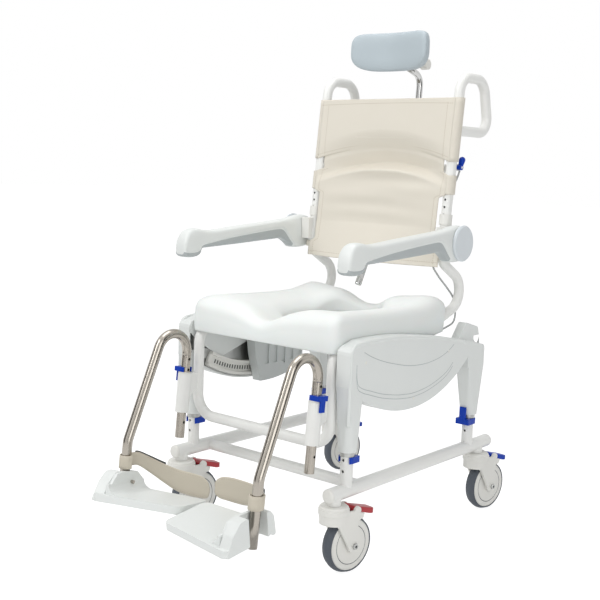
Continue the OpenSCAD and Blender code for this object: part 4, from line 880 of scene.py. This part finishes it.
class CHAIR_OT_cover_details(bpy.types.Operator):
    """Grey beads that paint the shade of the side covers' grooves, their rim bead and screws, and dark plates
    that paint the shade inside the tilt racks' slots
    """
    bl_idname = "chair.cover_details"
    bl_label = "Cover details"

    def execute(self, context):
        line, bow = through(COVER_LINE, 80), through(COVER_BOW, 80)
        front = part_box("side_cover_right")[0][1] * 1000 - SHIFT
        corner = ((front + 5, 330), (front + 5, 400), (front + 5, 470), (front + 7, 488), (front + 18, 500))
        rim = through(corner + COVER_RIM, 120)
        for side, name in SIDES:
            # Grey beads along the pressed lines: painted shade of the grooves
            for part, groove in (("upper", line), ("lower", line - (0, 9)), ("inner", bow)):
                groove = upright(side * LINE_X, groove)
                piece = sweep("cover_groove_shade_%s_%s" % (part, name), groove, 1.0, "grey_plastic")
                settle(piece, "lift")
            bead = upright(side * RIM_X, rim)
            piece = sweep("cover_rim_" + name, bead, 4.6, "white_moulded_plastic", 20)
            settle(piece, "lift")
            for part, y, z in (("lower", -48, 356), ("front", -240, 462), ("rear", 96, 448)):
                screw = turned("cover_screw_%s_%s" % (part, name), SCREW, (side * SCREW_X, y, z),
                               (side, 0, 0), "pale_grey_plastic", 24)
                settle(screw, "lift")
            # Dark slot floors: painted shade inside the rack's slots
            piece = build("rack_slot_shade_" + name, *rack_slot_shade(side), "dark_plastic", flip=side > 0)
            settle(piece, "lift")
        return {"FINISHED"}


# Castor details

# Swivels, turn and trail of the castors, height of their axles, and half the width of a fork there
CASTOR_X, CASTOR_Y, CASTOR_TURN = 235, 300, math.radians(-9)
CASTOR_TRAIL, AXLE_Z, FORK_FACE = 42, 63.5, 26.3
BOLT = ((0.1, 0), (7.4, 0), (7.4, 3.2), (6.2, 4.4), (3.4, 4.4), (3.0, 2.6), (0.1, 2.6))
# Dark disc in the recess of each bolt head: painted shade of its hex socket
SOCKET_SHADE = ((0.1, 2.2), (3.0, 2.2), (2.6, 3.6), (0.1, 3.4))
# Rings on a wheel's face: radius, distance from the wheel's middle, and half their thickness; the groove
# ring's dark rubber is painted shade of the groove
WHEEL_RINGS = (("groove", 42.9, 13.75, 0.62), ("bead", 58.4, 12.4, 1.5))


class CHAIR_OT_castor_details(bpy.types.Operator):
    """Axle bolts with a dark disc in each socket as painted shade, and on both faces of each wheel a rubber
    bead and a dark ring that paints the shade of a groove
    """
    bl_idname = "chair.castor_details"
    bl_label = "Castor details"

    def execute(self, context):
        axis = np.array([math.cos(CASTOR_TURN), math.sin(CASTOR_TURN), 0.0])
        for key in ("fl", "fr", "rl", "rr"):
            x = -CASTOR_X if key[1] == "l" else CASTOR_X
            y = -CASTOR_Y if key[0] == "f" else CASTOR_Y
            axle = np.array([x - CASTOR_TRAIL * math.sin(CASTOR_TURN),
                             y + CASTOR_TRAIL * math.cos(CASTOR_TURN), AXLE_Z])
            for side, name in SIDES:
                face = axle + side * axis * FORK_FACE
                bolt = turned("axle_bolt_%s_%s" % (key, name), BOLT, face, side * axis, "bare_steel", 6)
                bolt.data.polygons.foreach_set("use_smooth", np.zeros(len(bolt.data.polygons), bool))
                settle(bolt, "fork_" + key)
                # Dark disc in the bolt head's socket: painted shade of the recess
                socket_shade = turned("axle_socket_shade_%s_%s" % (key, name), SOCKET_SHADE, face, side * axis,
                                "dark_plastic", 24)
                settle(socket_shade, "fork_" + key)
                # The groove ring's dark rubber is painted shade of the groove
                for part, radius, off, thick in WHEEL_RINGS:
                    ring = hoop("wheel_%s_%s_%s" % (part, key, name), axle + side * axis * off, axis, radius,
                                thick, "grey_rubber_tyre")
                    settle(ring, "wheel_" + key)
        return {"FINISHED"}


# Stage


def white_to_eye(tree):
    """1 for rays from the camera, a mirror or a clear piece, 0 for the rays that carry light."""
    path = add(tree, "LightPath").outputs
    eye = add(tree, "Math", {0: path["Is Camera Ray"], 1: path["Is Glossy Ray"]}, operation="MAXIMUM")
    return add(tree, "Math", {0: eye.outputs[0], 1: path["Is Transmission Ray"]}, operation="MAXIMUM")


def panel(name, corners, material):
    """Flat piece of the stage with four corners, in metres."""
    mesh = bpy.data.meshes.new(name)
    mesh.from_pydata(corners, [], [(0, 1, 2, 3)])
    mesh.materials.append(material)
    piece = bpy.data.objects.new(name, mesh)
    bpy.context.scene.collection.objects.link(piece)
    return piece


class CHAIR_OT_stage(bpy.types.Operator):
    """Pale floor, white surround, soft studio light with its flags, and the camera"""
    bl_idname = "chair.stage"
    bl_label = "Stage"

    def execute(self, context):
        scene = context.scene
        scene.view_settings.view_transform = "Standard"
        # White paper: the eye sees it glow with the chair's shadow on it, the light meets plain paper
        material, tree = start_material("white_paper_floor")
        seen = white_to_eye(tree)
        paper = add(tree, "BsdfDiffuse", {"Color": linear("#f2f2f2")})
        shade = add(tree, "BsdfDiffuse", {"Color": (0.35, 0.35, 0.35, 1)})
        glow = add(tree, "Emission", {"Color": (1, 1, 1, 1), "Strength": 0.9})
        lit = add(tree, "AddShader", {0: shade.outputs[0], 1: glow.outputs[0]})
        both = add(tree, "MixShader", {0: seen.outputs[0], 1: paper.outputs[0], 2: lit.outputs[0]})
        add(tree, "OutputMaterial", {"Surface": both.outputs[0]})
        far = 30.0
        panel("floor", [(-far, -far, 0), (far, -far, 0), (far, far, 0), (-far, far, 0)], material)

        world = bpy.data.worlds.new("studio")
        scene.world = world
        world.use_nodes = True
        tree = world.node_tree
        tree.nodes.clear()
        seen = white_to_eye(tree)
        plain = add(tree, "Background", {"Color": linear("#f7f8f8"), "Strength": 0.43})
        white = add(tree, "Background", {"Color": (1, 1, 1, 1), "Strength": 1.0})
        both = add(tree, "MixShader", {0: seen.outputs[0], 1: plain.outputs[0], 2: white.outputs[0]})
        add(tree, "OutputWorld", {"Surface": both.outputs[0]})

        # Dark flags beside the camera, seen by reflections alone, draw the streaks along the metal tubes
        black = shaded(start_material("black_flag_cloth")[0], {"Base Color": linear("#14110f")})
        for name, middle, half in (("flag_left", (-1.5, -1.9), (0.28, -0.7)),
                                   ("flag_right", (2.5, 0.4), (0.14, 0.84)),
                                   ("flag_middle", (1.9, -2.3), (0.26, 0.19))):
            corner = [(middle[0] + k * half[0], middle[1] + k * half[1], z)
                      for k, z in ((-1, 0.05), (1, 0.05), (1, 2.6), (-1, 2.6))]
            flag = panel(name, corner, black)
            flag.visible_camera = flag.visible_diffuse = False
            flag.visible_shadow = flag.visible_transmission = False
        for name, at, size, power in (("key_light", (-1.2, -2.8, 2.9), 1.8, 50),
                                      ("fill_light", (2.8, -1.6, 1.4), 2.4, 30),
                                      ("top_light", (-0.2, 0.0, 3.4), 2.0, 35)):
            lamp = bpy.data.lights.new(name, "AREA")
            lamp.size, lamp.energy = size, power
            holder = bpy.data.objects.new(name, lamp)
            holder.location = at
            aim = Vector((0, 0, 0.6)) - Vector(at)
            holder.rotation_euler = aim.to_track_quat("-Z", "Y").to_euler()
            scene.collection.objects.link(holder)

        # Camera fitted to the photograph: where it looks, its roll, its place and its focal length in pixels
        az, pitch, roll = math.radians(39.5), math.radians(7.28), math.radians(2.07)
        ahead = Vector((-math.sin(az) * math.cos(pitch), math.cos(az) * math.cos(pitch), -math.sin(pitch)))
        right = Vector((math.cos(az), math.sin(az), 0))
        up = right.cross(ahead)
        side = math.cos(roll) * right + math.sin(roll) * up
        top = math.cos(roll) * up - math.sin(roll) * right
        at = place((1493.3, -1965.8, 862.0))
        focal, picture = 1009.98, 600
        lens = bpy.data.cameras.new("camera")
        lens.sensor_width, lens.lens = 36.0, 36.0 * focal / picture
        lens.clip_start, lens.clip_end = 0.05, 100.0
        camera = bpy.data.objects.new("camera", lens)
        camera.matrix_world = Matrix(((side.x, top.x, -ahead.x, at[0]), (side.y, top.y, -ahead.y, at[1]),
                                      (side.z, top.z, -ahead.z, at[2]), (0, 0, 0, 1)))
        scene.collection.objects.link(camera)
        scene.camera = camera
        return {"FINISHED"}


STEPS = (CHAIR_OT_stage, CHAIR_OT_frame_finish, CHAIR_OT_seat_cushion, CHAIR_OT_headrest_cushion,
         CHAIR_OT_back_cloth, CHAIR_OT_armrests, CHAIR_OT_heel_straps, CHAIR_OT_bright_tubes,
         CHAIR_OT_cover_details, CHAIR_OT_castor_details)


class CHAIR_PT_sidebar(bpy.types.Panel):
    """Lists the chair's pieces, sizes and colours"""
    bl_idname = "CHAIR_PT_sidebar"
    bl_label = "Shower commode chair"
    bl_space_type = "VIEW_3D"
    bl_region_type = "UI"
    bl_category = "Chair"

    def draw(self, context):
        for step_class in STEPS:
            self.layout.operator(step_class.bl_idname)
        for group in (context.scene.chair_sizes, context.scene.chair_colours):
            for key in group.__annotations__:
                self.layout.prop(group, key)


CLASSES = (ChairColours, ChairSizes, *STEPS, CHAIR_PT_sidebar)


def register():
    for item in CLASSES:
        bpy.utils.register_class(item)
    bpy.types.Scene.chair_colours = bpy.props.PointerProperty(type=ChairColours)
    bpy.types.Scene.chair_sizes = bpy.props.PointerProperty(type=ChairSizes)


def unregister():
    del bpy.types.Scene.chair_sizes
    del bpy.types.Scene.chair_colours
    for item in reversed(CLASSES):
        bpy.utils.unregister_class(item)


def main():
    register()
    for step_class in STEPS:
        group, name = step_class.bl_idname.split(".")
        getattr(getattr(bpy.ops, group), name)()


if __name__ == "__main__":
    main()
